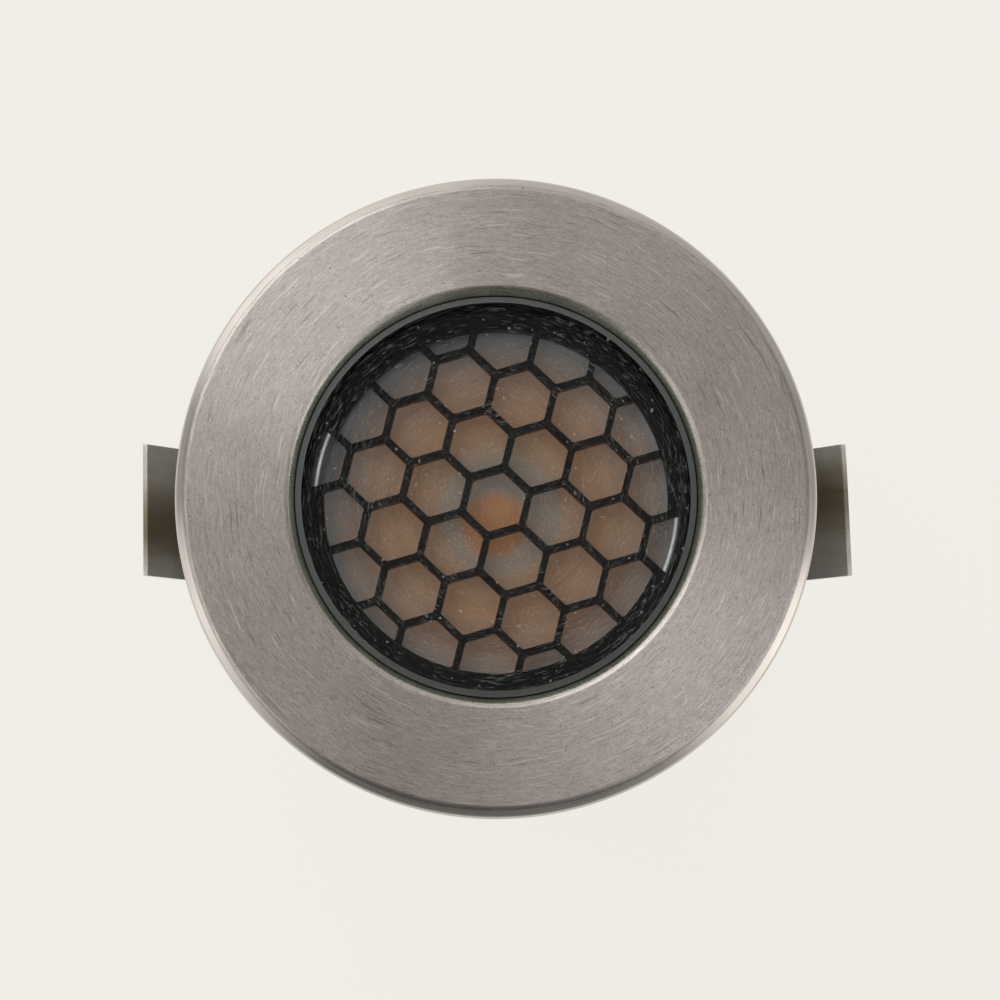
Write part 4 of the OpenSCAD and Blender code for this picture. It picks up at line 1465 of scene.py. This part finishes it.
@dataclass
class Gland:
    """Cable gland under the housing, and the rubber parts in it."""

    thread_r: float = 6.0
    thread_gap: float = 0.1
    cable_r: float = 3.1
    edge_round: float = 0.12
    segments: int = 96

    def build(self) -> None:
        """Makes the gland's four pieces."""
        rings = (
            ("gland_flat_ring", "gland_washer", self.thread_r + self.thread_gap, (0.0, 0.12, 0.12, 0.0)),
            ("gland_insert", "gland_seal", self.cable_r, (0.35, 0.2, 0.2, 0.35)),
        )
        for name, node, bore, roundings in rings:
            reach = Reach.of(node)
            bm = tube(bore, reach.out, reach.low, reach.top, roundings, self.segments)
            shown(name, bm, [BLACK_SILICONE], [node])
        for node in ("gland_body", "gland_nut"):
            self.softened_copy(node)

    def softened_copy(self, node: str) -> None:
        """Makes a piece from a CAD node whose edges are rounded.

        Args:
            node: The CAD node, which the piece stands for.
        """
        bm = bmesh.new()
        bm.from_mesh(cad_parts[node].data)
        for layer in list(bm.loops.layers.uv):
            bm.loops.layers.uv.remove(layer)
        bmesh.ops.remove_doubles(bm, verts=bm.verts[:], dist=TINY * 10)
        flat = math.radians(1.0)
        bmesh.ops.dissolve_limit(
            bm, angle_limit=flat, verts=bm.verts[:], edges=bm.edges[:], use_dissolve_boundaries=False
        )
        soften(bm, self.edge_round, sharper_than=25)
        shown(f"{node}_part", bm, [NICKEL_BRASS], [node])


@dataclass(frozen=True)
class Lamp:
    """A soft square lamp that faces the light.

    Attributes:
        name: Its name.
        azimuth: Its direction from +X, counter-clockwise from above, in degrees.
        height: Its angle above the table, in degrees.
        away: Its distance, in metres.
        size: Its width, in metres.
        power: Its power, in watts.
        tint: Its colour.
    """

    name: str
    azimuth: float
    height: float
    away: float
    size: float
    power: float
    tint: str = "#F8FBFF"

    def build(self) -> None:
        """Hangs the lamp."""
        data = bpy.data.lights.new(self.name, "AREA")
        data.shape = "SQUARE"
        data.size = self.size
        data.energy = self.power
        data.color = linear(self.tint)[:3]
        lamp = linked(self.name, data)
        a, e = math.radians(self.azimuth), math.radians(self.height)
        out = Vector((math.cos(a) * math.cos(e), math.sin(a) * math.cos(e), math.sin(e)))
        lamp.location = out * self.away
        lamp.rotation_euler = out.to_track_quat("Z", "Y").to_euler()


@dataclass
class Studio:
    """Pale table, soft lamps and a long-lens camera over the face.

    Grey and white cards stand round the light, by angle and brightness. Only gloss sees them: the camera sees
    the plain pale table and room.
    """

    distance: float = 500.0
    elevation: float = 85.5
    lens: float = 193.3
    aim: tuple[float, float, float] = (0.38, -0.38, 4.0)
    clip: tuple[float, float] = (0.01, 20.0)
    table: str = "#F0EDE6"
    table_body: float = 0.12
    table_size: float = 3.0
    glow: float = 0.94
    backdrop: float = 0.98
    lit_from: tuple[float, float, float] = (-0.09, 0.87, 0.48)
    room: Stops = (
        (0.25, "#2E2E2F"),
        (0.55, "#5A5957"),
        (0.72, "#8B8884"),
        (0.86, "#ABA8A3"),
        (1.0, "#C0BDB8"),
    )
    card_start: tuple[float, float] = (0.13, 0.2)
    card_rise: tuple[float, float] = (0.5, 0.1)
    card_peak: float = 2.2
    cards: tuple[tuple[float, float], ...] = (
        (0, 0.56),
        (20, 0.42),
        (45, 0.56),
        (80, 0.8),
        (100, 1.05),
        (114, 1.3),
        (132, 1.8),
        (146, 1.6),
        (160, 0.42),
        (180, 0.86),
        (200, 1.6),
        (218, 0.8),
        (235, 0.14),
        (262, 0.13),
        (288, 0.18),
        (306, 0.36),
        (322, 1.5),
        (336, 2.2),
        (346, 1.9),
        (355, 0.8),
    )
    lamps: tuple[Lamp, ...] = (
        Lamp("key", 133, 52, 0.8, 0.5, 1.85),
        Lamp("top", 84, 58, 0.3, 0.2, 0.055),
        Lamp("side", 204, 50, 0.8, 0.4, 0.7, "#FFFFFF"),
        Lamp("fill", 327, 50, 0.8, 0.5, 0.95),
    )

    def camera(self) -> None:
        """Puts the camera where the photograph was taken from."""
        data = bpy.data.cameras.new("camera")
        data.lens = self.lens
        data.clip_start, data.clip_end = self.clip
        camera = linked("camera", data)
        angle = math.radians(self.elevation)
        back = Vector((0, -math.cos(angle), math.sin(angle)))
        camera.location = (Vector(self.aim) + back * self.distance) * MM
        camera.rotation_euler = (-back).to_track_quat("-Z", "Y").to_euler()
        bpy.context.scene.camera = camera

    def floor(self) -> None:
        """Lays the table at the height of the gland's end: a plain pale top that glows under the light."""
        bm = bmesh.new()
        low = Matrix.Translation((0, 0, CAD_BOX[0].z))
        bmesh.ops.create_grid(bm, x_segments=1, y_segments=1, size=self.table_size, matrix=low)
        mesh = settled("table", bm)
        material = bpy.data.materials.new("pale_laminate")
        material.use_nodes = True
        net = Net(material.node_tree)
        beside = net.level(net.vector("LENGTH", net.place), *self.card_start, curve="SMOOTHSTEP")
        glow = net.blend(self.in_gloss(net, beside), grey(self.glow), self.card_ring(net))
        inputs = {
            "Base Color": linear(self.table, self.table_body),
            "Roughness": 0.8,
            "Specular IOR Level": 0.0,
            "Emission Color": net.vector("MULTIPLY", glow, linear(self.table)[:3]),
            "Emission Strength": 1.0,
        }
        net.node("OutputMaterial", {"Surface": net.node("BsdfPrincipled", inputs)})
        mesh.materials.append(material)
        linked("table", mesh)

    def in_gloss(self, net: Net, share: Socket) -> Socket:
        """Lets a share count in gloss only."""
        return net.math("MULTIPLY", share, net.node("LightPath", give="Is Glossy Ray"))

    def card_ring(self, net: Net) -> Socket:
        """Brightness of the cards by their direction from the light.

        Args:
            net: Node tree whose X and Y give the direction.

        Returns:
            The brightness, as a grey.
        """
        turn = net.node("TexGradient", {"Vector": net.place}, "Fac", gradient_type="RADIAL")
        greys = [((angle / 360 + 0.5) % 1.0, grey(level / self.card_peak)) for angle, level in self.cards]
        ring = net.ramp(net.math("FRACT", turn), sorted(greys))
        return net.vector("MULTIPLY", ring, (self.card_peak,) * 3)

    def world(self) -> None:
        """Surrounds the table with a soft room: pale beyond the light's upper edge, dark behind the camera.

        The camera sees it as pale as the table, and gloss sees the cards stand up from the table's edge.
        """
        made = bpy.data.worlds.new("room")
        bpy.context.scene.world = made
        made.use_nodes = True
        net = Net(made.node_tree, "Generated")
        side = net.level(net.vector("DOT_PRODUCT", net.place, self.lit_from), -1.0, 1.0)
        low = net.level(net.axis("Z"), *self.card_rise, curve="SMOOTHSTEP")
        room = net.blend(self.in_gloss(net, low), net.ramp(side, self.room), self.card_ring(net))
        seen = net.node("LightPath", give="Is Camera Ray")
        room = net.blend(seen, room, linear(self.table, self.backdrop))
        net.node("OutputWorld", {"Surface": net.node("Background", {"Color": room, "Strength": 1.0})})

    def build(self) -> None:
        """Sets up the camera, the table, the lamps and the room."""
        self.camera()
        self.floor()
        for lamp in self.lamps:
            lamp.build()
        self.world()
        bpy.context.scene.view_settings.view_transform = "Standard"


def dress_inner() -> None:
    """Gives each CAD node that is shown as it is its finish."""
    for name, finish in INNER_FINISHES.items():
        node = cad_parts[name]
        node.data.materials.clear()
        node.data.materials.append(finish.material())
        log.info("%s: CAD node in %s", name, finish.name)


def main() -> None:
    """Builds the light and its studio."""
    logging.basicConfig(level=logging.INFO, format="%(message)s")
    for part in (Studio(), Bezel(), Window(), Louvre(), Collimator(), Can()):
        part.build()
    clips = [SpringClip(-1, 0.6), SpringClip(1, 3.0)]
    for clip in clips:
        clip.strip()
    washers = joined([clip.washer() for clip in clips])
    shown("foot_washers", washers, [SCREW_STEEL], ["clip_washers"])
    screws = joined([clip.screw() for clip in clips])
    shown("foot_screws", screws, [SCREW_STEEL], ["clip_screws"])
    Gland().build()
    dress_inner()


if __name__ == "__main__":
    main()
